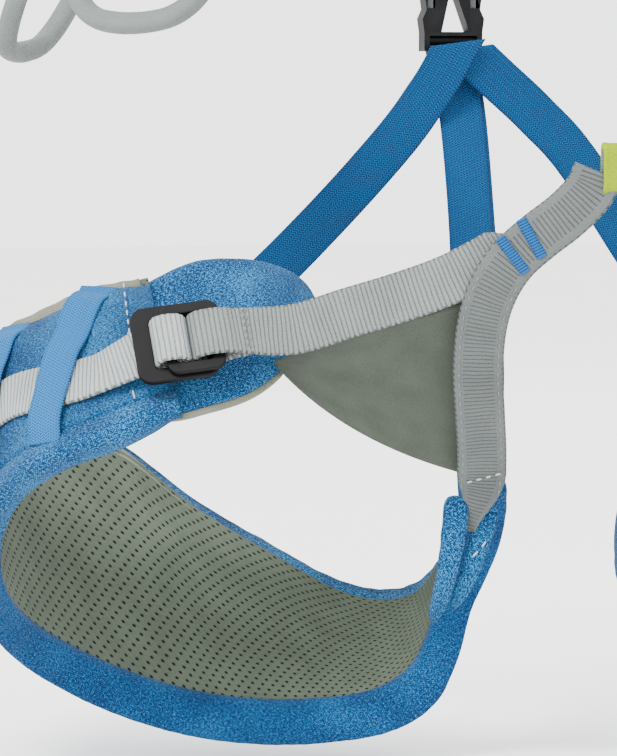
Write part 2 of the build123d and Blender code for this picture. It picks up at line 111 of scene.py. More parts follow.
# ---- finishes: each is one material, with its pattern in millimetres of cloth ----
class Value:
    """A socket of a finish, so that sums on it can be written as Python."""

    def __init__(self, finish, socket):
        self.finish = finish
        self.socket = socket

    def sum(self, operation, *values):
        return self.finish.node("Math", {"operation": operation}, dict(enumerate(values)))

    def __add__(self, other):
        return self.sum("ADD", self, other)

    def __sub__(self, other):
        return self.sum("SUBTRACT", self, other)

    def __rsub__(self, other):
        return self.sum("SUBTRACT", other, self)

    def __mul__(self, other):
        return self.sum("MULTIPLY", self, other)

    def __truediv__(self, other):
        return self.sum("DIVIDE", self, other)

    def __pow__(self, other):
        return self.sum("POWER", self, other)

    def __abs__(self):
        return self.sum("ABSOLUTE", self)

    __radd__ = __add__
    __rmul__ = __mul__

    def sin(self):
        return self.sum("SINE", self)

    def part(self):
        return self.sum("FRACT", self)

    def floor(self):
        return self.sum("FLOOR", self)

    def least(self, other):
        return self.sum("MINIMUM", self, other)

    def most(self, other):
        return self.sum("MAXIMUM", self, other)

    def rise(self, low, high):
        """0 below low and 1 above high, with a soft step between."""
        settings = {"interpolation_type": "SMOOTHSTEP"}
        return self.finish.node("MapRange", settings, {"Value": self, "From Min": low, "From Max": high})


class Finish:
    """The material of one cloth, thread, plastic or metal, and the ways to build it up."""

    def __init__(self, name):
        self.material = bpy.data.materials.new(name)
        self.material.use_nodes = True
        self.tree = self.material.node_tree
        self.tree.nodes.clear()

    def node(self, kind, settings, sockets, output=0):
        made = self.tree.nodes.new("ShaderNode" + kind)
        for key, setting in settings.items():
            if key == "stops":
                for place, colour in setting[2:]:
                    made.color_ramp.elements.new(place)
                for stop, (place, colour) in zip(made.color_ramp.elements, sorted(setting)):
                    stop.position = place
                    stop.color = (*colour, 1)
            else:
                setattr(made, key, setting)
        for key, value in sockets.items():
            if isinstance(value, Value):
                self.tree.links.new(value.socket, made.inputs[key])
            else:
                made.inputs[key].default_value = value
        return Value(self, made.outputs[output])

    def cloth(self):
        """Distance across and along the cloth, in millimetres."""
        place = self.node("UVMap", {"uv_map": "cloth"}, {})
        across = self.node("SeparateXYZ", {}, {0: place}, 0)
        along = self.node("SeparateXYZ", {}, {0: place}, 1)
        return across, along

    def place(self):
        """The point on the object, in millimetres."""
        spot = self.node("TexCoord", {}, {}, 3)
        return self.node("VectorMath", {"operation": "SCALE"}, {0: spot, "Scale": 1000.0})

    def vector(self, x, y, z=0.0):
        return self.node("CombineXYZ", {}, {0: x, 1: y, 2: z})

    def grain(self, at, scale, detail=2.0, rough=0.5):
        return self.node("TexNoise", {}, {"Vector": at, "Scale": scale, "Detail": detail, "Roughness": rough})

    def mix(self, share, first, second):
        colour = {"data_type": "RGBA"}
        first, second = [v if isinstance(v, Value) else (*v, 1) for v in (first, second)]
        return self.node("Mix", colour, {0: share, 6: first, 7: second}, 2)

    def shades(self, share, *stops):
        return self.node("ValToRGB", {"stops": stops}, {0: share})

    def finished(self, colour, roughness, height=None, depth=0.3, **shader):
        """Sets the shader; height is in millimetres, depth is the bump's strength."""
        base = colour if isinstance(colour, Value) else (*colour, 1)
        sockets = {"Base Color": base, "Roughness": roughness}
        if height is not None:
            bump = {"Height": height, "Strength": depth, "Distance": MM}
            sockets["Normal"] = self.node("Bump", {}, bump)
        sockets.update({key.replace("_", " "): value for key, value in shader.items()})
        surface = self.node("BsdfPrincipled", {}, sockets)
        ending = self.tree.nodes.new("ShaderNodeOutputMaterial")
        self.tree.links.new(surface.socket, ending.inputs["Surface"])
        return self.material


TURN = 2 * math.pi


def heather(name, dark, middle, light):
    """Melange cover cloth: pale and dark flecks on a plain weave."""
    f = Finish(name)
    across, along = f.cloth()
    fleck = f.grain(f.vector(across * 1.6, along * 0.95), 1.0, 2.0, 0.8)
    second = f.grain(f.vector(across * 1.0 + 31.0, along * 1.9), 1.0, 2.0, 0.7)
    cloud = f.grain(f.vector(across * 0.045, along * 0.045), 1.0, 1.0)
    thread = (across * (TURN / 0.95)).sin() * (along * (TURN / 0.95)).sin()
    share = fleck * 0.62 + second * 0.38 + (cloud - 0.5) * 0.16 + thread * 0.05
    colour = f.shades(share, (0.41, dark), (0.60, light), (0.5, middle))
    height = thread * 0.12 + fleck * 0.5
    return f.finished(colour, 0.9, height, 0.8, Specular_IOR_Level=0.12, Sheen_Weight=0.04)


def webbing(name, colour, half, taped=0.0):
    """Ribbed strap webbing; half is half the strap's width, taped the width of plain weave at its edges."""
    f = Finish(name)
    across, along = f.cloth()
    drift = f.grain(f.vector(across * 0.15, along * 0.15), 1.0) * 0.5
    rib = abs(((along + drift) * (math.pi / 1.6)).sin())
    warp = (across * (TURN / 0.78)).sin()
    fuzz = f.grain(f.vector(across * 1.6, along * 1.1), 1.0, 3.0, 0.7)
    cloud = f.grain(f.vector(across * 0.06, along * 0.06), 1.0)
    edge = abs(across).rise(half - 0.9, half - 0.3)
    if taped:
        plain = abs(across).rise(half - taped - 0.3, half - taped + 0.3)
        rib = rib * (1.0 - plain) + plain * 0.8
    worn = edge * ((along * (TURN / 2.4)).sin() + fuzz * 2.4).rise(1.0, 1.8)
    # Besides the bump, the rib mask darkens the colour in the grooves between ribs as painted shade. Warp,
    # fuzz and cloud are the webbing's own tone.
    shade = rib.rise(0.0, 0.7) * 0.42 + 0.48 + warp * 0.04 + (fuzz - 0.5) * 0.7 + (cloud - 0.5) * 0.45
    base = f.mix(shade.least(1.0).most(0.0), (0, 0, 0), colour)
    base = f.mix(worn.least(1.0) * 0.7, base, [c * 0.12 for c in colour])
    height = rib.rise(0.0, 0.7) * 0.4 + warp * rib * 0.06 + fuzz * 0.12 - edge * 0.15
    return f.finished(base, 0.75, height, 0.8, Specular_IOR_Level=0.2)


def elastic(name, colour, dark, half, zig=1.15):
    """Woven elastic: columns of slanting floats that change direction."""
    f = Finish(name)
    across, along = f.cloth()
    column = abs((across / (2 * zig)).part() - 0.5) * (2 * zig)
    slant = ((along + column * 0.9) * (TURN / 1.05)).sin()
    groove = abs((across * (math.pi / zig)).sin())
    fuzz = f.grain(f.vector(across * 1.3, along * 1.3), 1.0, 3.0, 0.7)
    cloud = f.grain(f.vector(across * 0.05, along * 0.03), 1.0)
    edge = abs(across).rise(half - 1.5, half - 1.0)
    share = slant * 0.5 + groove * 0.3 + fuzz * 0.45 + cloud * 0.35 - 0.08 - edge * 0.12
    base = f.mix(share.least(1.0).most(0.0), dark, colour)
    height = slant * 0.12 + groove * 0.14 + fuzz * 0.1
    return f.finished(base, 0.75, height, 0.8, Specular_IOR_Level=0.15)


def perforated(name, colour, deep):
    """Spacer mesh: rows of small slots, each row set half a pitch from the last; deep is the near-black
    painted shade inside the slots.
    """
    f = Finish(name)
    across, along = f.cloth()
    pitch_across, pitch_along = 2.15, 4.3
    row = across / pitch_across
    shift = (row.floor() * 0.5).part()
    du = (row.part() - 0.5) * pitch_across
    dv = ((along / pitch_along + shift).part() - 0.5) * pitch_along
    wobble = f.grain(f.vector(across * 0.4, along * 0.4), 1.0) * 0.3
    reach = ((du / 0.52) ** 2.0 + (dv / 0.74) ** 2.0) ** 0.5 + wobble - 0.15
    hole = 1.0 - reach.rise(0.75, 1.1)
    dish = 1.0 - reach.rise(0.8, 2.6)
    knit = (across * (TURN / 0.7) + (along * (TURN / 0.9)).sin()).sin()
    fuzz = f.grain(f.vector(across * 1.5, along * 1.5), 1.0, 3.0, 0.7)
    cloud = f.grain(f.vector(across * 0.06, along * 0.06), 1.0)
    shade = fuzz * 0.9 + knit * 0.12 + cloud * 0.8 - 0.25
    base = f.mix(shade.least(1.0).most(0.0), [c * 0.5 for c in colour], [c * 1.15 for c in colour])
    # Inside the slots the colour turns to deep: painted shade in the holes.
    base = f.mix(hole, base, deep)
    height = knit * 0.05 + fuzz * 0.1 - dish * 0.25 - hole * 0.6
    return f.finished(base, 0.92, height, 0.7, Specular_IOR_Level=0.1, Sheen_Weight=0.04)


def fine_knit(name, colour, pitch=0.8):
    """Smooth stretch knit with a slanting grain."""
    f = Finish(name)
    across, along = f.cloth()
    slant = ((across + along * 0.8) * (TURN / pitch)).sin()
    rib = ((across - along * 0.3) * (TURN / (pitch * 0.6))).sin()
    fuzz = f.grain(f.vector(across * 1.3, along * 1.3), 1.0, 3.0, 0.7)
    cloud = f.grain(f.vector(across * 0.08, along * 0.08), 1.0)
    shade = slant * 0.2 + rib * 0.12 + fuzz * 0.9 + cloud * 0.6 - 0.25
    base = f.mix(shade.least(1.0).most(0.0), [c * 0.45 for c in colour], [c * 1.2 for c in colour])
    height = slant * 0.06 + rib * 0.03 + fuzz * 0.1
    return f.finished(base, 0.9, height, 0.7, Specular_IOR_Level=0.15, Sheen_Weight=0.04)


def braid(name, colour, gloss, lane=1.1):
    """A woven or braided sleeve: small diamonds of thread."""
    f = Finish(name)
    across, along = f.cloth()
    one = ((across + along * 0.9) * (math.pi / lane)).sin()
    two = ((across - along * 0.9) * (math.pi / lane)).sin()
    fuzz = f.grain(f.vector(across * 1.2, along * 1.2), 1.0, 3.0, 0.7)
    cloud = f.grain(f.vector(across * 0.1, along * 0.1), 1.0)
    diamond = abs(one * two)
    shade = diamond * 0.4 + fuzz * 0.7 + cloud * 0.4 - 0.1
    base = f.mix(shade.least(1.0).most(0.0), [c * 0.45 for c in colour], [c * 1.1 for c in colour])
    height = diamond * 0.16 + fuzz * 0.1
    return f.finished(base, gloss, height, 0.7, Specular_IOR_Level=0.15)


def thread(name, colour):
    """Twisted sewing thread."""
    f = Finish(name)
    across, along = f.cloth()
    twist = ((along * 2.2 + across * 1.4) * TURN).sin()
    base = f.mix(twist * 0.2 + 0.7, [c * 0.5 for c in colour], colour)
    return f.finished(base, 0.7, twist * 0.1, 0.5, Specular_IOR_Level=0.2)


def moulded(name, colour, rough, grain_size, metal=0.0):
    """Satin hard part with a fine grain, paler and glossier on its sharp edges as a painted highlight."""
    f = Finish(name)
    at = f.place()
    fine = f.grain(at, 1.0 / grain_size, 3.0, 0.6)
    cloud = f.grain(at, 0.12, 2.0)
    edge = f.node("NewGeometry", {}, {}, 7).rise(0.51, 0.6)
    # Sharp edges are lightened and made glossier as a painted highlight on the rims.
    painted_rim_highlight = (edge * (cloud * 1.6 - 0.4).least(1.0).most(0.0)) * 0.5
    base = f.mix(cloud, [c * 0.8 for c in colour], colour)
    base = f.mix(painted_rim_highlight, base, [c * 2.2 + 0.008 for c in colour])
    gloss = fine * 0.2 + (rough - 0.1) - painted_rim_highlight * 0.15
    return f.finished(base, gloss, fine * 0.08, 0.35, Metallic=metal, Specular_IOR_Level=0.13)


COVER = heather("heather cover cloth", (0.0003, 0.009, 0.040), (0.001, 0.040, 0.125), (0.034, 0.190, 0.38))
# The edge cloth is the cover heather made darker. The darkness is painted shade on the edge bands, not a
# different cloth.
SHADED_EDGE_CLOTH = heather("heather edge cloth darkened as painted shade", (0.0003, 0.010, 0.046), (0.0007, 0.032, 0.108),
                     (0.014, 0.105, 0.25))
# The last colour is the near-black painted shade inside the lining's slots.
LINING = perforated("perforated lining mesh", (0.070, 0.088, 0.064), (0.003, 0.006, 0.004))
EDGE_TAPE = fine_knit("raw lining edge", (0.165, 0.175, 0.132), 1.1)
KNIT = fine_knit("stretch knit", (0.058, 0.069, 0.055))
LOAD_WEBBING = webbing("ribbed load webbing", (0.275, 0.305, 0.300), 8.5)
LEG_WEBBING = webbing("ribbed leg webbing", (0.158, 0.178, 0.174), 8.5)
# The bridge webbing is darker than the leg webbing as painted shade, where it faces away from the light. The
# tie-in and belay loop webbing use it too.
SHADED_BRIDGE_WEBBING = webbing("ribbed bridge webbing", (0.092, 0.105, 0.103), 8.5, 3.2)
BELT_WEBBING = webbing("ribbed belt webbing", (0.185, 0.205, 0.200), 12.5)
RISER = elastic("riser elastic", (0.003, 0.072, 0.20), (0.0004, 0.014, 0.060), 8.5)
KEEPER = elastic("keeper elastic", (0.016, 0.140, 0.34), (0.001, 0.040, 0.14), 7.0)
LIME = braid("lime protector sleeve", (0.23, 0.33, 0.0002), 0.8, 0.8)
LOOP_SHEATH = braid("gear loop sheath", (0.140, 0.158, 0.155), 0.6)
WHITE_THREAD = thread("white thread", (0.42, 0.44, 0.42))
BLUE_THREAD = thread("blue thread", (0.006, 0.078, 0.24))
GREY_THREAD = thread("grey thread", (0.17, 0.185, 0.18))
METAL = moulded("black anodised buckle", (0.0012, 0.0012, 0.0014), 0.5, 0.25, 0.1)
PLASTIC = moulded("dark buckle plastic", (0.0022, 0.0024, 0.003), 0.5, 0.3)
PALE_PLASTIC = moulded("pale prong plastic", (0.10, 0.108, 0.115), 0.5, 0.3)


# ---- making meshes ----
def new_object(name, points, faces, corner_uv, material):
    mesh = bpy.data.meshes.new(name)
    mesh.from_pydata([tuple(Vector(p) * MM) for p in points], [], faces)
    layer = mesh.uv_layers.new(name="cloth")
    layer.data.foreach_set("uv", [value for uv in corner_uv for value in uv])
    mesh.shade_smooth()
    mesh.materials.append(material)
    made = bpy.data.objects.new(name, mesh)
    bpy.context.scene.collection.objects.link(made)
    return made


def turned(made):
    """Makes the faces look outwards."""
    work = bmesh.new()
    work.from_mesh(made.data)
    bmesh.ops.recalc_face_normals(work, faces=work.faces)
    work.to_mesh(made.data)
    work.free()
    return made


def skin(rows, across=None):
    """Points, faces and cloth coordinates of a closed form through sections of equal count."""
    count = len(rows[0])
    points = [p for row in rows for p in row]
    gone = [0.0]
    for before, after in zip(rows, rows[1:]):
        moved = sum((b - a).length for a, b in zip(before, after)) / count
        gone.append(gone[-1] + moved)
    if across is None:
        middle = rows[len(rows) // 2]
        across = [0.0]
        for j in range(count):
            across.append(across[-1] + (middle[(j + 1) % count] - middle[j]).length)
    else:
        across = list(across) + [across[0]]
    faces, uv = [], []
    for i in range(len(rows) - 1):
        for j in range(count):
            k = (j + 1) % count
            faces.append((i * count + j, i * count + k, (i + 1) * count + k, (i + 1) * count + j))
            uv += [(across[j], gone[i]), (across[j + 1], gone[i]), (across[j + 1], gone[i + 1]),
                   (across[j], gone[i + 1])]
    for i, order in ((0, -1), (len(rows) - 1, 1)):
        ring = list(range(count))[::order]
        faces.append(tuple(i * count + j for j in ring))
        uv += [(across[j], gone[i]) for j in ring]
    return points, faces, uv


def joined(parts):
    """Several skins as one set of points and faces."""
    points, faces, uv = [], [], []
    for part_points, part_faces, part_uv in parts:
        start = len(points)
        points += part_points
        faces += [tuple(start + i for i in face) for face in part_faces]
        uv += part_uv
    return points, faces, uv


def piece(name, skins, material, body, replaces=()):
    """One piece from its skins. SIDE in the name makes it for the right and mirrors it for the left."""
    points, faces, uv = joined(skins)
    made = []
    for side in SIDES if "SIDE" in name else ("right",):
        spots = points if side == "right" else [vec(-p.x, p.y, p.z) for p in points]
        thing = turned(new_object(name.replace("SIDE", side), spots, faces, uv, material))
        if body:
            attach(thing, body.replace("SIDE", side))
        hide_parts(*[node.replace("SIDE", side) for node in replaces])
        made.append(thing)
    return made


def two_sides(skins):
    """The same skins and their mirror images."""
    return skins + [([vec(-p.x, p.y, p.z) for p in points], faces, uv) for points, faces, uv in skins]


def line_of(points, facing, count):
    """(point, along, face, across) at even steps on a smooth line through the points."""
    faces = facing if isinstance(facing, list) else [facing] * len(points)
    given = np.array([[*a, *b] for a, b in zip(points, faces)], float)
    p = np.vstack([2 * given[0] - given[1], given, 2 * given[-1] - given[-2]])
    t = np.linspace(0, 1, 16, endpoint=False)[:, None]
    runs = [0.5 * (2 * b + (c - a) * t + (2 * a - 5 * b + 4 * c - d) * t ** 2
                   + (3 * b - a - 3 * c + d) * t ** 3)
            for a, b, c, d in zip(p, p[1:], p[2:], p[3:])]
    fine = np.vstack(runs + [p[-2:-1]])
    gone = np.concatenate([[0], np.cumsum(np.linalg.norm(np.diff(fine[:, :3], axis=0), axis=1))])
    even = np.array([np.interp(np.linspace(0, gone[-1], count), gone, column) for column in fine.T]).T
    ahead = np.gradient(even[:, :3], axis=0)
    line = []
    for row, direction in zip(even, ahead):
        along = Vector(direction).normalized()
        face = Vector(row[3:])
        face = (face - along * face.dot(along)).normalized()
        line.append((Vector(row[:3]), along, face, along.cross(face).normalized()))
    return line


def flat_section(width, thick, crown=0.0, columns=9):
    """(across, out) round a strap's section, with rounded edges."""
    r = thick * 0.48
    half_w, half_t = width / 2 - r, thick / 2 - r
    loop = []
    for side in (1, -1):
        for x in steps(-half_w, half_w, columns):
            loop.append((x * side, side * (thick / 2 + crown * (1 - (x / half_w) ** 2))))
        for angle in (60, 30, 0, -30, -60):
            a = math.radians(angle)
            loop.append((side * (half_w + r * math.cos(a)), side * (half_t + r * math.sin(a))))
    return loop


def ribbon(points, facing, width, thick, count=90, crown=0.0, shape=None, wave=0.0, slant=0.0):
    """A strap's skin.

    shape(share) gives its width factor, wave lifts it unevenly and slant cuts its start askew.
    """
    section = flat_section(width, thick, crown)
    rows = []
    for i, (point, along, face, across) in enumerate(line_of(points, facing, count)):
        share = i / (count - 1)
        wide = shape(share) if shape else 1.0
        cut = slant * max(0.0, 1 - share / 0.2)
        row = []
        for a, b in section:
            lift = wave * ruffle(width, i * 0.11, a * 0.12) if wave else 0.0
            row.append(point + across * (a * wide) + along * (a * cut) + face * (b + lift))
        rows.append(row)
    return skin(rows, [a for a, b in section])


def rounded_ends(share, low):
    """Shape for a strap whose ends round off over a share of its length."""
    def shape(t):
        near = min(t, 1 - t) / share
        full = math.sqrt(max(0.0, 1 - (1 - min(near, 1.0)) ** 2))
        return low + (1 - low) * full
    return shape


def tube(points, radius, count, around=14, facing=vec(0, 0.3, 1), squash=1.0):
    """A round skin along points; radius is a number or gives one for (share, angle)."""
    rows = []
    for i, (point, along, face, across) in enumerate(line_of(points, facing, count)):
        row = []
        for j in range(around):
            a = TURN * j / around
            r = radius(i / (count - 1), a) if callable(radius) else radius
            row.append(point + across * (r * math.cos(a)) + face * (r * squash * math.sin(a)))
        rows.append(row)
    return skin(rows)


def stitches(points, facing, length=2.6, gap=1.2, radius=0.34, sink=0.35, lean=0.0):
    """A row of thread stitches lying on a surface along points."""
    total = sum((b - a).length for a, b in zip(points, points[1:]))
    number = max(1, int(total / (length + gap)))
    line = line_of(points, facing, number * 12 + 1)
    made = []
    for k in range(number):
        part = line[k * 12:k * 12 + 12]
        used = part[:max(3, int(12 * length / (length + gap)))]
        rows = []
        for i, (point, along, face, across) in enumerate(used):
            t = i / (len(used) - 1)
            r = radius * math.sqrt(max(0.02, 1 - (2 * t - 1) ** 4))
            dip = sink * (2 * t - 1) ** 4
            centre = point + face * (radius * 0.5 - dip) + across * (lean * (t - 0.5))
            rows.append([centre + across * (r * math.cos(a)) + face * (r * math.sin(a))
                         for a in [TURN * j / 6 for j in range(6)]])
        made.append(skin(rows))
    return made


def soft_copy(node, material, width, body, name):
    """A hard CAD part again, with its sharp edges eased."""
    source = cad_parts[node]
    mesh = source.data.copy()
    mesh.name = name
    work = bmesh.new()
    work.from_mesh(mesh)
    bmesh.ops.remove_doubles(work, verts=work.verts, dist=0.00002)
    bmesh.ops.dissolve_limit(work, angle_limit=math.radians(2), verts=work.verts, edges=work.edges)
    sharp = [e for e in work.edges if len(e.link_faces) == 2 and e.calc_face_angle(0) > math.radians(28)]
    bmesh.ops.bevel(work, geom=sharp, offset=width * MM, segments=2, profile=0.5, affect="EDGES",
                    clamp_overlap=True)
    bmesh.ops.recalc_face_normals(work, faces=work.faces)
    work.to_mesh(mesh)
    work.free()
    mesh.shade_smooth()
    mesh.materials.clear()
    mesh.materials.append(material)
    made = bpy.data.objects.new(name, mesh)
    bpy.context.scene.collection.objects.link(made)
    made.modifiers.new("even shading", "WEIGHTED_NORMAL").weight = 100
    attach(made, body)
    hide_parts(node)
    return made


# ---- the two rings, as in the CAD part ----
GAP = 0.3
WEB_T = 1.8
PAD_T = 9.0
WAIST_A, WAIST_B, WAIST_RISE = 150.0, 103.0, 48.0
WAIST_FRONT_H, WAIST_BACK_H = 40.0, 70.0
WAIST_WEB_W = 25.0
WAIST_START = 44.0
WAIST_BUCKLE_AT = 31.0
LEG_A, LEG_B = 84.0, 71.0
LEG_CENTRE = vec(-117.5, -20.0, -230.0)
TILT = math.radians(44.0)
LEG_OUT = vec(-1, 0, 0)
LEG_FRONT = vec(0, -math.cos(TILT), math.sin(TILT))
LEG_AXIS = vec(0, math.sin(TILT), math.cos(TILT))
LEG_WEB_W = 17.0
LEG_START, LEG_END = 23.0, 286.0
TIE_Y, UPPER_TIE_Z, LOWER_TIE_Z = -121.0, -4.0, -103.0
SHEATH_HALF = 19.0
BELAY_IN_Y = 7.5
WEB_OUT = PAD_T + GAP + WEB_T / 2   # the middle of a strap that lies on a pad
STRAP_T = 1.7
BRIDGE_T = 2.4
KEEPER_T = 1.1
ELASTIC_W, ELASTIC_T = 17.0, 1.4
BACK_BUCKLE_Y, BACK_BUCKLE_Z = 98.0, -63.0
LOOP_R = 3.4
FRONT_FACE = vec(-0.29, -0.95, 0.1)
LEG_BUCKLE_AT, LEG_BUCKLE_H = 20.0, 17.0

LEG_TOP = [(23, 59), (53, 60), (90, 76), (125, 100), (155, 106), (174, 97), (190, 68), (204, 44),
           (222, 13), (239, -1), (252, 2), (270, 8), (286, 12)]
LEG_LOW = [(23, -2), (31, -5.5), (40, -7), (57, -3), (73, 0), (90, -1), (105, -5), (140, -6),
           (157, -10), (187, -22), (206, -29), (222, -34), (234, -32), (243, -22), (252, -9),
           (270, -4), (286, -3)]
LEG_BEVEL = [(26, 0), (73, -1), (105, -4), (150, -8), (187, -9), (240, -8), (262, -4), (286, 0)]
LOAD_PATH = [(33, 17), (47, 21), (60, 29), (75, 32), (90, 34), (110, 38), (130, 42), (150, 42)]
LOAD_LIFT = [(33, 1.8), (42, 0), (150, 0)]
LEG_FULL = [(23, 0.34), (29, 0.72), (37, 1.0), (240, 1.0), (262, 1.15), (286, 1.35)]


def leg_point(angle, height, out):
    a = math.radians(angle)
    return (LEG_CENTRE + LEG_OUT * ((LEG_A + out) * math.sin(a)) + LEG_FRONT * ((LEG_B + out) * math.cos(a))
            + LEG_AXIS * height)


def leg_face(angle):
    """Outwards from the thigh at an angle."""
    a = math.radians(angle)
    return (LEG_OUT * (LEG_B * math.sin(a)) + LEG_FRONT * (LEG_A * math.cos(a))).normalized()


def waist_point(angle, z, out):
    a = math.radians(angle)
    return vec(-(WAIST_A + out) * math.sin(a), -(WAIST_B + out) * math.cos(a), z)


def waist_face(angle):
    a = math.radians(angle)
    return vec(-WAIST_B * math.sin(a), -WAIST_A * math.cos(a), 0).normalized()


def waist_mid(angle):
    return WAIST_RISE * (1 - math.cos(math.radians(angle))) / 2


def waist_half(angle):
    return (WAIST_FRONT_H + (WAIST_BACK_H - WAIST_FRONT_H) * (1 - math.cos(math.radians(angle))) / 2) / 2


# ---- leg loops ----
def pad_top(angle):
    return curve(LEG_TOP, angle)


def pad_low(angle):
    return curve(LEG_LOW, angle)


def pad_bevel(angle):
    return curve(LEG_BEVEL, angle)


def pad_deep(angle):
    return PAD_T * curve(LEG_FULL, angle)


def thinned(angle, below_top):
    """How far the padded cover thins out near its top edge."""
    return min(pad_deep(angle) * 0.75, 6.6) * math.exp(-(max(below_top, 0.0) / 4.5) ** 1.5)


def make_leg_pads():
    angles = steps(LEG_START, LEG_END, 300)

    # Lining: a thin sheet whose raw edge stands a little above the cover.
    rows = []
    for angle in angles:
        low, top = pad_low(angle) + 0.8 + 2.4 * ease((50 - angle) / 20), pad_top(angle) + 0.4
        heights = steps(low, top, 40)
        row = [leg_point(angle, h, 0.12 * ruffle(3, angle * 0.2, h * 0.08)) for h in heights]
        row += [leg_point(angle, h, 1.1) for h in heights[::-1]]
        rows.append(row)
    heights = steps(0, 78, 40)
    piece("leg_SIDE_lining_mesh", [skin(rows, heights + heights[::-1])], LINING, "leg_SIDE",
          ["leg_SIDE_lining"])

    # The raw edge of the lining stands above the cover, and thins out at both its ends.
    rows = []
    for angle in steps(25, 188, 200):
        proud = 3.4 * ease((angle - 24) / 14) * ease((190 - angle) / 24) + 0.4 * ruffle(4, angle * 0.4) + 0.3
        base, tip = pad_top(angle) - 3.0, pad_top(angle) + proud
        lean = 1.9 + 0.5 * ruffle(6, angle * 0.3)
        rows.append([leg_point(angle, base, -0.25), leg_point(angle, tip - 0.4, lean - 1.3),
                     leg_point(angle, tip, lean - 0.4), leg_point(angle, tip - 0.4, lean + 0.5),
                     leg_point(angle, (base + tip) / 2 + 0.6, 2.1), leg_point(angle, base, 1.9)])
    piece("leg_SIDE_raw_edge", [skin(rows)], EDGE_TAPE, "leg_SIDE")

    # Padded body: crowned outside, pulled in at the seams.
    rows = []
    for angle in angles:
        deep = pad_deep(angle)
        low, top = pad_low(angle) + 0.6, pad_top(angle) - 0.4 - 3.0 * ease((28 - angle) / 5)
        bevel = pad_bevel(angle)
        tall = top - low - bevel
        row = [leg_point(angle, low + (top - low) * s, 1.2) for s in steps(1, 0, 8)]
        shares = [0.16 * s for s in steps(0, 1, 26)] + [0.16 + 0.84 * s for s in steps(0, 1, 50)[1:]]
        for s in shares:
            above = s * tall
            below_top = tall - above
            out = deep - 0.3
            out -= thinned(angle, below_top)
            out -= 0.4 * hill(below_top, 7.5, 1.0)
            out -= 0.9 * hill(above, 9.0, 1.3) + 0.35 * hill(above, 13.5, 0.9)
            out += 0.30 * ruffle(5, angle * 0.35, above * 0.1)
            out += 0.55 * hill(angle, 36.5, 1.6) * ease(below_top / 6) * ease((above - 34) / 10)
            height = low + bevel * out / PAD_T + above
            row.append(leg_point(angle, height, max(out, 1.6)))
        rows.append(row)
    rows = closed_in(rows)
    for pad in piece("leg_SIDE_padded_cover", [skin(rows)], COVER, "leg_SIDE",
                     ["leg_SIDE_cover", "leg_SIDE_foam"]):
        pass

    # Edge cloth folded round the lower edge, from the lining to the first seam.
    rows = []
    for angle in angles:
        deep = pad_deep(angle)
        low, bevel = pad_low(angle), pad_bevel(angle)
        pucker = 1 + 0.5 * ruffle(8, angle * 0.5) + 0.25 * ruffle(9, angle * 1.4)
        outer, inner = [], []
        for s in steps(0, 1, 6):
            outer.append((low + 4.2 - 4.6 * s, -0.55 - 0.35 * math.sin(math.pi * s)))
            inner.append((low + 4.2 - 3.6 * s, 0.4))
        for s in steps(0, 1, 12):
            swell = (1.3 * math.sin(math.pi * s) + 0.4) * pucker
            outer.append((low + bevel * s * deep / PAD_T - swell, deep * s + 0.1))
            inner.append((low + bevel * s * deep / PAD_T + 1.0, deep * s * 0.8 + 0.6))
        edge = low + bevel * deep / PAD_T
        for s in steps(0, 1, 9)[1:]:
            bulge = (0.75 * math.sin(math.pi * min(s * 1.15, 1.0)) + 0.25 * (1 - s)) * pucker
            outer.append((edge + 8.6 * s - 0.3 * (1 - s), deep - 0.35 * s + bulge))
            inner.append((edge + 8.6 * s, deep - 1.3))
        rows.append([leg_point(angle, h, out) for h, out in outer + inner[::-1]])
    # Past the front, the edge cloth takes the darker heather as painted shade. The front part keeps the cover
    # heather.
    front = [angle for angle in angles if angle < 96]
    piece("leg_SIDE_edge_cloth", [skin(rows[len(front) - 1:])], SHADED_EDGE_CLOTH, "leg_SIDE",
          ["leg_SIDE_binding"])
    piece("leg_SIDE_edge_cloth_front", [skin(rows[:len(front)])], COVER, "leg_SIDE")

    # Thread on the cover: a row along the lower seam and one upright line beside the buckle.
    rows = []
    seam = [angle for angle in angles if 27 < angle < 250]
    low_seam = [leg_point(a, pad_low(a) + pad_bevel(a) + 10.2, pad_deep(a) - 0.1) for a in seam]
    rows += stitches(low_seam[::4], [leg_face(a) for a in seam[::4]], 2.0, 1.4, 0.24)
    piece("leg_SIDE_seam_thread", rows, BLUE_THREAD, "leg_SIDE")
    upright = [leg_point(31.4 - 0.06 * h, h, pad_deep(31.4) + 0.75) for h in (54, 45, 34, 26)]
    foot = [leg_point(31.8, h, pad_deep(31.8) + 0.6) for h in (8, 4, 1)]
    rows = stitches(upright, leg_face(33), 2.6, 1.0, 0.3) + stitches(foot, leg_face(33), 2.6, 1.0, 0.3)
    piece("leg_SIDE_marker_thread", rows, WHITE_THREAD, "leg_SIDE")


def closed_in(rows):
    """Rounds both ends of a padded form by drawing its end sections towards their middles."""
    def drawn(row, share):
        middle = sum(row, Vector((0, 0, 0))) / len(row)
        return [middle + (p - middle) * share for p in row]

    start = [drawn(rows[0], share) for share in (0.55, 0.85)]
    end = [drawn(rows[-1], share) for share in (0.85, 0.55)]
    return start + rows + end


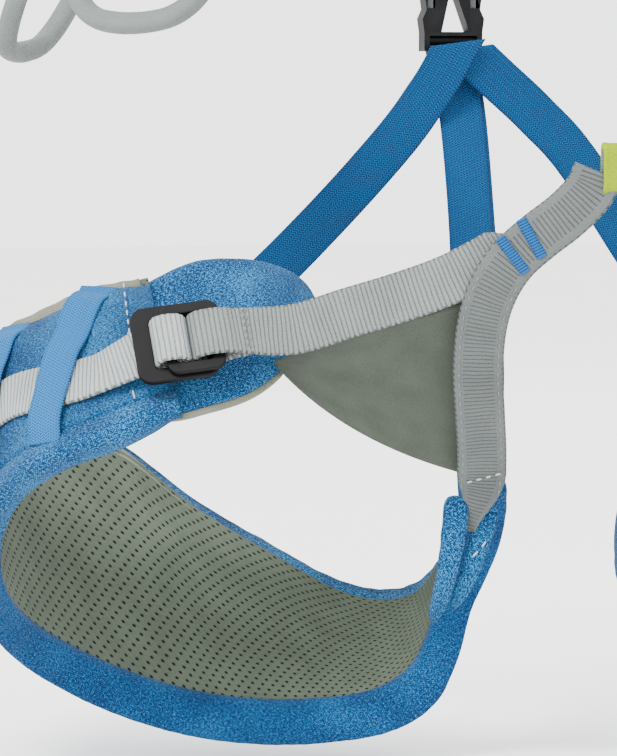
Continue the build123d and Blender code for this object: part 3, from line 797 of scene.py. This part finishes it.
def make_tongues():
    """The thin flap under the front end of each leg pad."""
    top = [(-18, 48), (-16, 56), (-11, 62), (-4, 65), (10, 66), (20, 62), (30, 57), (45, 56)]
    low = [(-18, 44), (-14, 36), (-9, 26), (-3, 13), (7, 3), (20, -0.5), (26, 0), (33, 4), (45, 8)]
    for name, inner, outer, grow, material, slot, replaced in (
            ("leg_SIDE_tongue_cover", -2.3, -0.2, -1.2, COVER, "blue_fabric", ["leg_SIDE_tongue"]),
            ("leg_SIDE_tongue_lining", -3.6, -2.4, 0.9, EDGE_TAPE, "mesh_lining", [])):
        rows = []
        for angle in steps(-18, 45, 90):
            a, b = curve(low, angle) - grow, curve(top, angle) + min(grow, -0.4)
            if b - a < 1.5:
                a = b = (a + b) / 2
                a, b = a - 0.75, b + 0.75
            row = []
            for s in steps(0, 1, 40):
                h = a + (b - a) * s
                near = min(h - a, b - h)
                swell = 0.9 * (1 - math.exp(-near / 3)) if grow < 0 else 0.0
                swell += 0.25 * ruffle(11, angle * 0.3, h * 0.1) if grow < 0 else 0.0
                row.append(leg_point(angle, h, outer - 0.9 + swell if grow < 0 else outer))
            row += [leg_point(angle, a + (b - a) * s, inner) for s in steps(1, 0, 10)]
            rows.append(row)
        for flap in piece(name, [skin(rows)], material, "leg_SIDE", replaced):
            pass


class Buckle:
    """Places strap lines round a slide buckle: x along the strap, z outwards."""

    def __init__(self, origin, along, outward):
        self.origin = origin
        self.x = along.normalized()
        self.z = (outward - self.x * outward.dot(self.x)).normalized()

    def at(self, x, z):
        return self.origin + self.x * x + self.z * z

    def towards(self, x, z):
        return self.x * x + self.z * z

    def line(self, rows):
        """Points and faces from (x, z, face x, face z) rows."""
        return [self.at(x, z) for x, z, fx, fz in rows], [self.towards(fx, fz) for x, z, fx, fz in rows]


# The strap comes under the left rail, up, over the slider's bar and back under.
TURN_ROUND = [(-17, -1.5, 0, 1), (-11, -1.2, -0.2, 1), (-8.3, 1.0, -1, 0.3), (-7.8, 3.8, -1, 0.15),
              (-6.4, 5.9, -0.7, 1), (-3.2, 6.7, 0, 1), (0.5, 6.1, 0.7, 1), (2.5, 4.0, 1, 0.15),
              (2.6, 1.2, 1, -0.2), (-0.3, -2.6, 0.4, -1), (-8, -3.4, 0, -1), (-16, -3.6, 0, -1)]
# The other strap is folded round the right rails and sewn to itself.
SEWN_LOOP = [(23.5, 1.9, 0, -1), (19, 1.2, 0, -1), (14, -0.6, 0, -1), (9.5, -1.4, -0.2, -1),
             (5.2, 0.6, -1, -0.2), (4.9, 3.8, -1, 0.1), (7.2, 6.1, -0.7, 1), (12, 6.8, 0, 1),
             (17, 6.0, 0.1, 1), (22, 3.6, 0.1, 1)]


def make_leg_straps():
    buckle = Buckle(leg_point(LEG_BUCKLE_AT, LEG_BUCKLE_H, PAD_T + 5.0), vec(0.965, -0.19, 0.13),
                    vec(-0.28, -0.84, 0.46))
    pad_run = (150, 144, 137, 130, 122, 114, 106, 98, 90, 82, 75, 68, 61, 54, 47, 41, 36)
    points = [leg_point(a, curve(LOAD_PATH, a), WEB_OUT + curve(LOAD_LIFT, a)) for a in pad_run]
    faces = [leg_face(a) for a in pad_run]
    turn_points, turn_faces = buckle.line(TURN_ROUND[1:])
    piece("leg_SIDE_load_strap", [ribbon(points + turn_points, faces + turn_faces, LEG_WEB_W, STRAP_T, 300)],
          LOAD_WEBBING, "leg_SIDE", ["leg_SIDE_load_webbing"])
    rows = []
    for back in (147.5, 146.2):
        spots = [leg_point(back, 42.3 + h, WEB_OUT + 0.9) for h in (-7, -3, 3, 7)]
        rows += stitches(spots, leg_face(back), 1.6, 0.7)
    piece("leg_SIDE_load_thread", rows, GREY_THREAD, "leg_SIDE")

    loop_points, loop_faces = buckle.line(SEWN_LOOP)
    points = loop_points + [vec(-112, -72, -157.5), vec(-96, -80, -152), vec(-80, -87.6, -146.6),
                            vec(-66, -93.2, -141.2), vec(-54, -97.4, -135.0), vec(-43, -102.0, -128.0)]
    faces = loop_faces + [FRONT_FACE] * 6

    def tucked(t):
        return 1.0 - 0.5 * ease((t - 0.94) / 0.06)

    strap = ribbon(points, faces, LEG_WEB_W, STRAP_T, 220, 0.0, tucked)
    piece("leg_SIDE_front_webbing", [strap], LEG_WEBBING, "leg_SIDE", ["leg_SIDE_front_strap"])
    across = buckle.x.cross(buckle.z)
    rows = []
    for shift in (0.0, 1.4):
        base = buckle.at(22.6 + shift, 4.4)
        rows += stitches([base + across * s for s in (-7.6, -3, 3, 7.6)], buckle.z, 1.5, 0.7, 0.3, 0.3, 1.0)
    piece("leg_SIDE_loop_thread", rows, GREY_THREAD, "leg_SIDE")

    # Bridge strap from the tie-in point down to the pad's inner end.
    points = [vec(-20.5, -119.5, -104), vec(-23, -118, -110.5), vec(-30, -115, -118.5),
              vec(-39, -111.5, -126), vec(-47, -108, -134), vec(-51.5, -102, -144), vec(-52.6, -94, -156),
              vec(-50.6, -84, -171.6), vec(-46.5, -74, -187.5), vec(-42.3, -63.5, -202),
              vec(-39.2, -52.5, -215), vec(-40.0, -42.5, -229)]
    strap = ribbon(points, FRONT_FACE, LEG_WEB_W, BRIDGE_T, 220, 0.0, bridge_taper, 0.5)
    # The bridge strap's darker webbing is painted shade.
    piece("leg_SIDE_bridge_webbing", [strap], SHADED_BRIDGE_WEBBING, "leg_SIDE",
          ["leg_SIDE_bridge_strap"])
    line = line_of(points, FRONT_FACE, 60)
    rows = []
    for side in (-1, 1):
        path = [p + face * 1.3 + across * (side * 6.6) for p, along, face, across in line[18:54]]
        rows += stitches(path[::5], FRONT_FACE, 2.4, 1.5, 0.26)
    piece("leg_SIDE_bridge_thread", rows, GREY_THREAD, "leg_SIDE")
    rows = []
    for share in (12, 15):
        p, along, face, across = line[share]
        for k in range(15):
            spot = p + face * 1.4 + across * (-5.8 + 0.97 * k) + along * (0.17 * (7 - k))
            rows += stitches([spot - along * 2.3, spot, spot + along * 2.3], face, 4.5, 0.1, 0.6, 0.3, 0.9)
    piece("leg_SIDE_bar_tacks", rows, BLUE_THREAD, "leg_SIDE")
    p, along, face, across = line[50]
    path = [p + face * 1.3 + across * s + along * (0.42 * s) for s in (-6.4, -2, 2, 6.4)]
    rows = stitches(path, FRONT_FACE, 2.2, 1.0, 0.4)
    piece("leg_SIDE_tip_thread", rows, WHITE_THREAD, "leg_SIDE")


def make_end_folds():
    """The pad's inner end is folded round the bridge strap's tip, with a lobe each side of it."""
    swollen = rounded_ends(0.1, 0.35)
    lobes = []
    for spots, wide in ((END_LOBE_IN, 4.6), (END_LOBE_OUT, 4.3)):
        def radius(t, a, wide=wide):
            return wide * swollen(t) * (1 - 0.6 * t ** 2 + 0.08 * ruffle(15, t * 9, a))

        lobes.append(tube([vec(*spot) for spot in spots], radius, 90, 20, FRONT_FACE, 0.42))
    for fold in piece("leg_SIDE_end_fold", lobes, COVER, "leg_SIDE"):
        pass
    path = [vec(-39.8, -46.6, -238.2), vec(-36.6, -46.8, -235.0), vec(-34.0, -46.6, -231.4)]
    piece("leg_SIDE_fold_thread", stitches(path, FRONT_FACE, 2.0, 1.0, 0.34), WHITE_THREAD, "leg_SIDE")


END_LOBE_IN = ((-45.6, -47, -217.0), (-45.9, -46.5, -222), (-46.2, -45, -230), (-47.4, -43.5, -240),
               (-48.6, -40, -250), (-50.0, -33, -262))
END_LOBE_OUT = ((-33.4, -45, -221.0), (-34.6, -44, -227), (-37.0, -43, -236), (-40.0, -41, -246),
                (-43.5, -36, -257))


def bridge_taper(t):
    """The bridge strap narrows to a tip at its lower end, where it goes into the pad."""
    return 1.0 - 0.68 * ease((t - 0.84) / 0.16)


def make_gussets():
    """Stretch knit behind the two leg straps, with a curved free hem."""
    corner = vec(-58, -91, -148)
    tip = vec(-118, -64.5, -168.5)
    low = vec(-45, -52, -209)
    mid = (tip + low) * 0.5 + vec(-9, 0, -8)
    inwards = FRONT_FACE.normalized() * -1
    rows = []
    for t in steps(0.0, 1.0, 40):
        top = corner + (tip - corner) * (0.98 * t)
        bottom = low * (1 - t) ** 2 + mid * (2 * t * (1 - t)) + (tip + vec(1.5, 0, -1.5)) * t ** 2
        front, back = [], []
        for s in steps(0.0, 1.0, 30):
            belly = 3.0 * math.sin(math.pi * s) * math.sin(math.pi * min(1.0, t * 1.2 + 0.05))
            spot = top + (bottom - top) * s + inwards * (belly + 0.5 * ruffle(14, t * 3, s * 3))
            hem = 0.35 * hill(s, 0.93, 0.05)
            front.append(spot - inwards * hem)
            back.append(spot + inwards * (1.1 + hem))
        rows.append(front + back[::-1])
    heights = steps(0, 62, 30)
    made = piece("leg_SIDE_knit_gusset", [skin(rows, heights + heights[::-1])], KNIT, "leg_SIDE",
                 ["leg_SIDE_gusset"])


def make_leg_keepers():
    skins = []
    for (a0, h0), (a1, h1), width in (((34.5, 60), (55, 3), 14.0), ((58, 62), (76, 10), 14.0),
                                      ((98, 80), (104, 8), 13.0)):
        points, faces = [], []
        for t in steps(0.0, 1.0, 26):
            angle, height = a0 + (a1 - a0) * t, h0 + (h1 - h0) * t
            near = ease((LEG_WEB_W / 2 + 15 - abs(height - curve(LOAD_PATH, angle))) / 14)
            below_top = pad_top(angle) - height
            out = pad_deep(angle) + 0.75 + near * (WEB_T + 0.5 + curve(LOAD_LIFT, angle))
            out -= thinned(angle, below_top) + 0.9 * ease((t - 0.9) / 0.1)
            points.append(leg_point(angle, height, out))
            faces.append(leg_face(angle))
        skins.append(ribbon(points, faces, width, KEEPER_T, 90, 0.0, None, 0.3))
    piece("leg_SIDE_elastic_keepers", skins, KEEPER, "leg_SIDE", ["leg_SIDE_keepers"])


# ---- waist belt ----
def make_waist():
    angles = steps(WAIST_START, 360 - WAIST_START, 260)
    rows = []
    for angle in angles:
        mid, half = waist_mid(angle), waist_half(angle) - 0.8
        heights = steps(mid - half, mid + half, 34)
        rows.append([waist_point(angle, z, 0.15 * ruffle(21, angle * 0.2, z * 0.08)) for z in heights]
                    + [waist_point(angle, z, 1.1) for z in heights[::-1]])
    heights = steps(0, 66, 34)
    piece("waist_lining_mesh", [skin(rows, heights + heights[::-1])], LINING, "waist",
          ["waist_lining"])

    rows = []
    for angle in angles:
        mid, half = waist_mid(angle), waist_half(angle)
        row = [waist_point(angle, z, 1.2) for z in steps(mid + half - 1, mid - half + 1, 8)]
        for s in steps(0, 1, 64):
            z = mid + (2 * s - 1) * (half - 0.6)
            edge = min(s, 1 - s) * 2 * half
            out = PAD_T - 0.35 - 2.6 * math.exp(-(edge / 3.0) ** 1.5) - 0.8 * hill(edge, 9.0, 1.2)
            out += 0.3 * ruffle(22, angle * 0.25, z * 0.1)
            row.append(waist_point(angle, z, out))
        rows.append(row)
    belt = piece("waist_padded_cover", [skin(closed_in(rows))], COVER, "waist",
                 ["waist_cover", "waist_foam"])[0]

    skins = []
    for sign in (-1, 1):
        rows = []
        for angle in angles:
            edge = waist_mid(angle) + sign * waist_half(angle)
            pucker = 1 + 0.4 * ruffle(24 + sign, angle * 0.5)
            outer, inner = [], []
            for s in steps(0, 1, 5):
                outer.append((edge - sign * (4.2 - 4.6 * s), -0.6))
                inner.append((edge - sign * (4.2 - 3.4 * s), 0.4))
            for s in steps(0, 1, 10):
                outer.append((edge + sign * (1.2 * math.sin(math.pi * s) + 0.4) * pucker, PAD_T * s))
                inner.append((edge - sign * 0.8, PAD_T * s * 0.8 + 0.6))
            for s in steps(0, 1, 8)[1:]:
                outer.append((edge - sign * 8.4 * s, PAD_T - 0.3 * s + 0.6 * math.sin(math.pi * s) * pucker))
                inner.append((edge - sign * 8.4 * s, PAD_T - 1.4))
            rows.append([waist_point(angle, z, out) for z, out in outer + inner[::-1]])
        skins.append(skin(rows))
    # The waist's edge bands take the darker heather as painted shade.
    piece("waist_edge_cloth", skins, SHADED_EDGE_CLOTH, "waist", ["waist_binding"])

    a = math.radians(WAIST_BUCKLE_AT)
    along = vec((WAIST_A + PAD_T) * math.cos(a), -(WAIST_B + PAD_T) * math.sin(a), 0).normalized()
    buckle = Buckle(waist_point(WAIST_BUCKLE_AT, waist_mid(WAIST_BUCKLE_AT), PAD_T + 4.5), along,
                    vec(along.y, -along.x, 0))
    turn_points, turn_faces = buckle.line(TURN_ROUND[1:])
    run = steps(180, WAIST_BUCKLE_AT + 13, 24)
    points = [waist_point(t, waist_mid(t), WEB_OUT) for t in run] + turn_points
    faces = [waist_face(t) for t in run] + turn_faces
    straps = two_sides([ribbon(points, faces, WAIST_WEB_W, STRAP_T, 340)])
    piece("waist_load_webbing", straps, BELT_WEBBING, "waist", ["waist_webbing"])
    loop_points, loop_faces = buckle.line(SEWN_LOOP)
    first = buckle.at(22, 3.6)
    tie_end = vec(-SHEATH_HALF - 3.8, TIE_Y + 1.0, UPPER_TIE_Z)
    outward = buckle.z
    points = loop_points + [first + (tie_end - first) * 0.35 + outward * 0.8,
                            first + (tie_end - first) * 0.7 + outward * 0.8, tie_end]
    faces = loop_faces + [outward * 0.5 + vec(0, -0.5, 0)] * 3

    def narrowing(t):
        return 1.0 - 0.36 * ease((t - 0.45) / 0.5)

    straps = two_sides([ribbon(points, faces, WAIST_WEB_W - 1, STRAP_T, 160, 0.0, narrowing)])
    piece("waist_front_webbing", straps, BELT_WEBBING, "waist", ["waist_front_straps"])

    out = PAD_T + GAP + WEB_T * 1.5 + GAP
    run = steps(54, 84, 12)
    points = [waist_point(t, waist_mid(t), out) for t in run]
    faces = [waist_face(t) for t in run]
    straps = two_sides([ribbon(points, faces, WAIST_WEB_W - 1, STRAP_T, 80, 0.0, rounded_ends(0.1, 0.72))])
    piece("waist_tail_ends", straps, BELT_WEBBING, "waist", ["waist_strap_tails"])
    skins = []
    for at in (60, 78):
        mid = waist_mid(at)
        points = []
        for s in steps(-1, 1, 15):
            z = mid + s * (WAIST_WEB_W / 2 + 6)
            near = ease((WAIST_WEB_W / 2 + 4 - abs(z - mid)) / 4)
            points.append(waist_point(at, z, PAD_T + 0.7 + near * (2 * WEB_T + 0.7)))
        skins.append(ribbon(points, waist_face(at), 13.0, KEEPER_T, 50))
    piece("waist_elastic_keepers", two_sides(skins), KEEPER, "waist", ["waist_tail_keepers"])

    rows = []
    for sign in (-1, 1):
        run = steps(WAIST_START + 3, 357 - WAIST_START, 120)
        seam = [waist_point(t, waist_mid(t) + sign * (waist_half(t) - 10.4), PAD_T) for t in run]
        rows += stitches(seam, [waist_face(t) for t in run], 2.2, 1.4, 0.25)
    piece("waist_seam_thread", rows, BLUE_THREAD, "waist")

    mid_z, out = waist_mid(180), WAIST_B + PAD_T + WEB_T + 0.6
    points = [vec(0, out + 1, mid_z + 14), vec(0, out + 7, mid_z + 9), vec(0, out + 9, mid_z),
              vec(0, out + 7, mid_z - 9), vec(0, out + 1, mid_z - 14)]
    loop = ribbon(points, vec(0, 1, 0), 10, 1.6, 60)
    piece("haul_loop_webbing", [loop], LEG_WEBBING, "waist", ["haul_loop"])


GEAR_LOOPS = (("front", 54, 93, 54, 10), ("rear", 106, 132, 76, 32))


def make_gear_loops():
    tabs = []
    for name, first, last, drop, splay in GEAR_LOOPS:
        ends = []
        for angle in (first, last):
            low = waist_mid(angle) - waist_half(angle) + 1.5
            ends.append(waist_point(angle, low + 5, PAD_T + GAP + LOOP_R + 1.2))
            high = waist_mid(angle - 3.2) - WAIST_WEB_W / 2 - 0.6
            points = [waist_point(angle, z, PAD_T + GAP + 0.5) for z in steps(low, high, 6)]
            tabs.append(ribbon(points, waist_face(angle), 15.0, 1.2, 24))
        start, end = ends
        mid = (start + end) * 0.5
        out = vec(mid.x, mid.y, 0).normalized()
        bottom = mid.z - drop
        chord = end - start

        def at(share, fall, away):
            spot = start + chord * share
            return vec(spot.x, spot.y, spot.z + (bottom - spot.z) * fall) + out * away

        points = [start, at(-0.02, 0.55, splay * 0.6), at(0.14, 0.93, splay), at(0.5, 1.0, splay * 1.15),
                  at(0.86, 0.93, splay), at(1.02, 0.55, splay * 0.6), end]
        line = routed(points)

        def folded(share, a):
            crease = math.sin(3 * a + 5 * share) * 0.22
            crease += 0.3 * ruffle(31, share * 9, math.cos(a), math.sin(a))
            cuff = 0.35 * (hill(share, 0.03, 0.015) + hill(share, 0.97, 0.015))
            return LOOP_R + 0.35 + crease - cuff

        body = f"gear_loop_{name}_SIDE"
        piece(body + "_woven_sheath", [tube(line, folded, 260, 24, out)], LOOP_SHEATH, body,
              [body + "_sheath", body + "_core"])
    piece("gear_loop_tab_webbing", two_sides(tabs), BELT_WEBBING, "waist", ["gear_loop_tabs"])


def routed(points):
    """Points on the smooth line that has these as its control points."""
    data = bpy.data.curves.new("route", "CURVE")
    data.dimensions = "3D"
    data.resolution_u = 24
    spline = data.splines.new("NURBS")
    spline.points.add(len(points) - 1)
    for spot, point in zip(spline.points, points):
        spot.co = (*point, 1)
    spline.order_u = 3
    spline.use_endpoint_u = True
    holder = bpy.data.objects.new("route", data)
    mesh = bpy.data.meshes.new_from_object(holder)
    line = [v.co.copy() for v in mesh.vertices]
    bpy.data.objects.remove(holder)
    bpy.data.meshes.remove(mesh)
    bpy.data.curves.remove(data)
    return line


# ---- tie-in points and belay loop ----
def make_front():
    def bow(z, half, y_end, y_mid):
        return [vec(x, y_mid + (y_end - y_mid) * (x / half) ** 2, z) for x in steps(-half, half, 7)]

    face = vec(0, -1, 0)
    upper = bow(UPPER_TIE_Z, SHEATH_HALF + 2, TIE_Y + 1, TIE_Y)
    lower = bow(LOWER_TIE_Z, SHEATH_HALF, TIE_Y + 1.5, TIE_Y)
    for name, line, points, width, replaced in (
            ("upper_tie_in", upper, upper[1:-1], 14, ["upper_tie_in_loop", "upper_tie_in_sheath"]),
            ("lower_tie_in", lower, lower, 13, ["lower_tie_in_bridge", "lower_tie_in_sheath"])):
        strap = ribbon(line, face, width, BRIDGE_T, 60)
        piece(name + "_webbing", [strap], SHADED_BRIDGE_WEBBING, "waist", replaced[:1])
        rows = []
        section = flat_section(width + 4, 5.2)
        count = 60
        for i, (point, along, out, across) in enumerate(line_of(points, face, count)):
            t = i / (count - 1)
            lip = 0.12 * hill(t, 0.02, 0.02) + 0.12 * hill(t, 0.98, 0.02)
            rows.append([point + across * (a * (1 + lip * 0.3))
                         + out * (b * (1 + lip) + 0.2 * ruffle(41, t * 6, a * 0.2)) for a, b in section])
        mouths = []
        for row in (rows[0], rows[-1]):
            middle = sum(row, Vector((0, 0, 0))) / len(row)
            mouths.append([middle + (p - middle) * 0.72 for p in row])
        inset = rows[2][0] - rows[0][0]
        start = [[p + inset for p in mouths[0]], mouths[0]]
        end = [mouths[1], [p - inset for p in mouths[1]]]
        sleeve = skin(start + rows + end, [a for a, b in section])
        piece(name + "_protector", [sleeve], LIME, "waist", replaced[1:])

    top, bottom = UPPER_TIE_Z + 12, LOWER_TIE_Z - 12
    centre = BELAY_IN_Y + 1.5
    points, faces = [], []
    for z in steps(bottom + 8, top - 8, 10):
        points.append(vec(0, TIE_Y - centre, z))
        faces.append(vec(0, -1, 0))
    for a in steps(20, 160, 8):
        r = math.radians(a)
        points.append(vec(0, TIE_Y - centre * math.cos(r), top - 9 + 9.5 * math.sin(r)))
        faces.append(vec(0, -math.cos(r), math.sin(r)))
    for z in steps(top - 8, bottom + 8, 10):
        points.append(vec(0, TIE_Y + centre, z))
        faces.append(vec(0, 1, 0))
    for a in steps(200, 340, 8):
        r = math.radians(a)
        points.append(vec(0, TIE_Y - centre * math.cos(r), bottom + 9 + 9.5 * math.sin(r)))
        faces.append(vec(0, -math.cos(r), math.sin(r)))
    points.append(points[0])
    faces.append(faces[0])
    loop = ribbon(points, faces, 15, 2.9, 240)
    piece("belay_loop_webbing", [loop], SHADED_BRIDGE_WEBBING, "belay_loop", ["belay_loop"])
    middle = (top + bottom) / 2
    y = TIE_Y - BELAY_IN_Y - 3.0 - 0.8
    patch = [vec(0, y, z) for z in steps(middle - 17, middle + 17, 6)]
    piece("belay_loop_sewn_sleeve", [ribbon(patch, face, 16, 1.2, 40)], KEEPER, "belay_loop",
          ["belay_loop_sleeve"])
    rows = []
    for z in (middle - 14, middle - 7, middle + 7, middle + 14):
        for k in range(9):
            spot = vec(-5.6 + 1.4 * k, y - 0.75, z)
            path = [spot - vec(0, 0, 1.4), spot, spot + vec(0, 0, 1.4)]
            rows += stitches(path, face, 2.6, 0.2, 0.4, 0.3, 0.7)
    piece("belay_loop_bar_tacks", rows, WHITE_THREAD, "belay_loop")


# ---- release buckle and elastics at the back ----
def make_back():
    y, z = BACK_BUCKLE_Y, BACK_BUCKLE_Z
    buckle_t = 7.0
    base = z + 27.3
    low = waist_mid(180) - waist_half(180)
    points = [vec(0, WAIST_B + PAD_T + 4.5, low + 12), vec(0, WAIST_B + PAD_T + 4.5, low + 2),
              vec(0, y + 8, low - 8), vec(0, y, base + 10.6)]
    strap = ribbon(points, vec(0, 1, 0), 16, ELASTIC_T, 60)
    hang = piece("rear_hang_elastic", [strap], RISER, "", ["rear_hang_strap"])[0]
    points[1] * MM
    points[3] * MM
    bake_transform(hang)

    front_y, back_y = y - buckle_t / 2 - 1.5, y + buckle_t / 2 + 1.2
    hook = leg_point(172, pad_top(172) - 10, PAD_T + 1.6)
    lead = leg_point(172, pad_top(172) + 12, PAD_T + 3.0)
    runs = (("right", -1, -2 * ELASTIC_T - 4 * GAP, ((0, 3.2), (10, -14.5), (26, -36.5), (62, -76)), 0.75),
            ("left", 1, -ELASTIC_T, ((4, 1), (16, -9), (34, -24), (52, -42), (85, -87)), -0.9))
    for name, side, lay, run, slant in runs:
        points = []
        for across, drop in run:
            share = across / abs(lead.x)
            points.append(vec(side * across, front_y + lay + (lead.y - front_y - lay) * share, z + drop))
        points += [vec(side * abs(end.x), end.y, end.z) for end in (lead, hook)]
        facing = [vec(0, -1, 0)] * (len(points) - 2) + [vec(0, -0.9, 0.4), LEG_FRONT]
        strap = ribbon(points, facing, ELASTIC_W, ELASTIC_T, 140, slant=slant)
        made = piece(f"riser_elastic_{name}", [strap], RISER, "", [f"riser_outer_{name}"])[0]
        points[1] * MM
        points[-2] * MM
        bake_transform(made)
    back = vec(0, -1, 0)
    route = ((vec(0, back_y, z + 2), back), (vec(3.5, back_y - 6, z - 23), back),
             (vec(0.5, back_y - 27, z - 67), back), (vec(-6.5, 50, z - 107), vec(-0.3, -0.95, 0)),
             (vec(-14.5, 26, z - 138), vec(-0.7, -0.7, 0)),
             (leg_point(258, 12, PAD_T * 1.15 + 2.6), vec(-0.9, -0.4, 0)),
             (leg_point(258, 0, PAD_T * 0.9), LEG_OUT))
    skins = []
    for lay in (0.0, ELASTIC_T + 2 * GAP):
        points = [point - face * lay + vec(lay, 0, 0) for point, face in route]
        skins.append(ribbon(points, [face for _, face in route], ELASTIC_W, ELASTIC_T, 140))
    made = piece("riser_elastic_centre", skins, RISER, "", ["riser_centre"])[0]
    route[0][0] * MM
    route[-2][0] * MM
    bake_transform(made)


def make_hard_parts():
    # A black bar fills the rear buckle's slot as painted shade, where the folded riser elastic lies in
    # shadow.
    bar = [vec(x, BACK_BUCKLE_Y, BACK_BUCKLE_Z + 4.0) for x in (-9.6, -4, 4, 9.6)]
    piece("rear_buckle_web_bar", [tube(bar, 2.3, 20, 16)], PLASTIC, "waist")
    soft_copy("rear_buckle_socket", PLASTIC, 0.45, "waist", "rear_buckle_body")
    soft_copy("rear_buckle_clip", PLASTIC, 0.4, "rear_clip", "rear_buckle_plug")
    soft_copy("waist_buckle_frames", METAL, 0.5, "waist", "waist_buckle_plates")
    for side in SIDES:
        soft_copy(f"rear_buckle_prong_{side}", PALE_PLASTIC, 0.3, f"clip_prong_{side}",
                  f"rear_buckle_spring_{side}")
        soft_copy(f"leg_{side}_buckle_frame", METAL, 0.5, f"leg_{side}",
                  f"leg_{side}_buckle_plate")
        soft_copy(f"leg_{side}_slider", METAL, 0.5, f"leg_{side}_slider",
                  f"leg_{side}_slide_plate")
        soft_copy(f"waist_slider_{side}", METAL, 0.5, f"waist_{side}_slider",
                  f"waist_{side}_slide_plate")


# ---- camera, light and floor ----
def make_stage():
    target = Vector((-0.085, 0.0, -0.178))
    azimuth, elevation, distance = math.radians(-17), math.radians(3), 2.0
    back = Vector((math.sin(azimuth) * math.cos(elevation), -math.cos(azimuth) * math.cos(elevation),
                   math.sin(elevation)))
    data = bpy.data.cameras.new("camera")
    data.lens = 271.4
    camera = bpy.data.objects.new("camera", data)
    camera.location = target + back * distance
    camera.rotation_mode = "QUATERNION"
    camera.rotation_quaternion = (-back).to_track_quat("-Z", "Y")
    bpy.context.scene.collection.objects.link(camera)
    bpy.context.scene.camera = camera

    world = bpy.data.worlds.new("studio")
    world.use_nodes = True
    world.node_tree.nodes["Background"].inputs["Color"].default_value = (1, 1, 1, 1)
    world.node_tree.nodes["Background"].inputs["Strength"].default_value = 3.1
    bpy.context.scene.world = world
    for name, place, size, power in (("key", (-1.5, -1.5, 1.9), 0.8, 128), ("fill", (2.1, -1.4, 0.5), 1.6, 9),
                                     ("rim", (0.6, 2.0, 1.6), 1.2, 18)):
        lamp = bpy.data.lights.new(name, "AREA")
        lamp.energy = power
        lamp.size = size
        holder = bpy.data.objects.new(name, lamp)
        holder.location = place
        holder.rotation_mode = "QUATERNION"
        holder.rotation_quaternion = (target - Vector(place)).to_track_quat("-Z", "Y")
        bpy.context.scene.collection.objects.link(holder)

    f = Finish("pale floor")
    spots = f.grain(f.place(), 0.004)
    floor_paint = f.finished(f.mix(spots, (0.90, 0.90, 0.89), (0.94, 0.94, 0.93)), 0.9)
    mesh = bpy.data.meshes.new("floor")
    half, z = 6.0, cad_low.z - 0.004
    corners = [(-half, -half, z), (half, -half, z), (half, half, z), (-half, half, z)]
    mesh.from_pydata(corners, [], [(0, 1, 2, 3)])
    mesh.materials.append(floor_paint)
    floor = bpy.data.objects.new("floor", mesh)
    bpy.context.scene.collection.objects.link(floor)


make_stage()
make_leg_pads()
make_tongues()
make_leg_straps()
make_end_folds()
make_gussets()
make_leg_keepers()
make_waist()
make_gear_loops()
make_front()
make_back()
make_hard_parts()
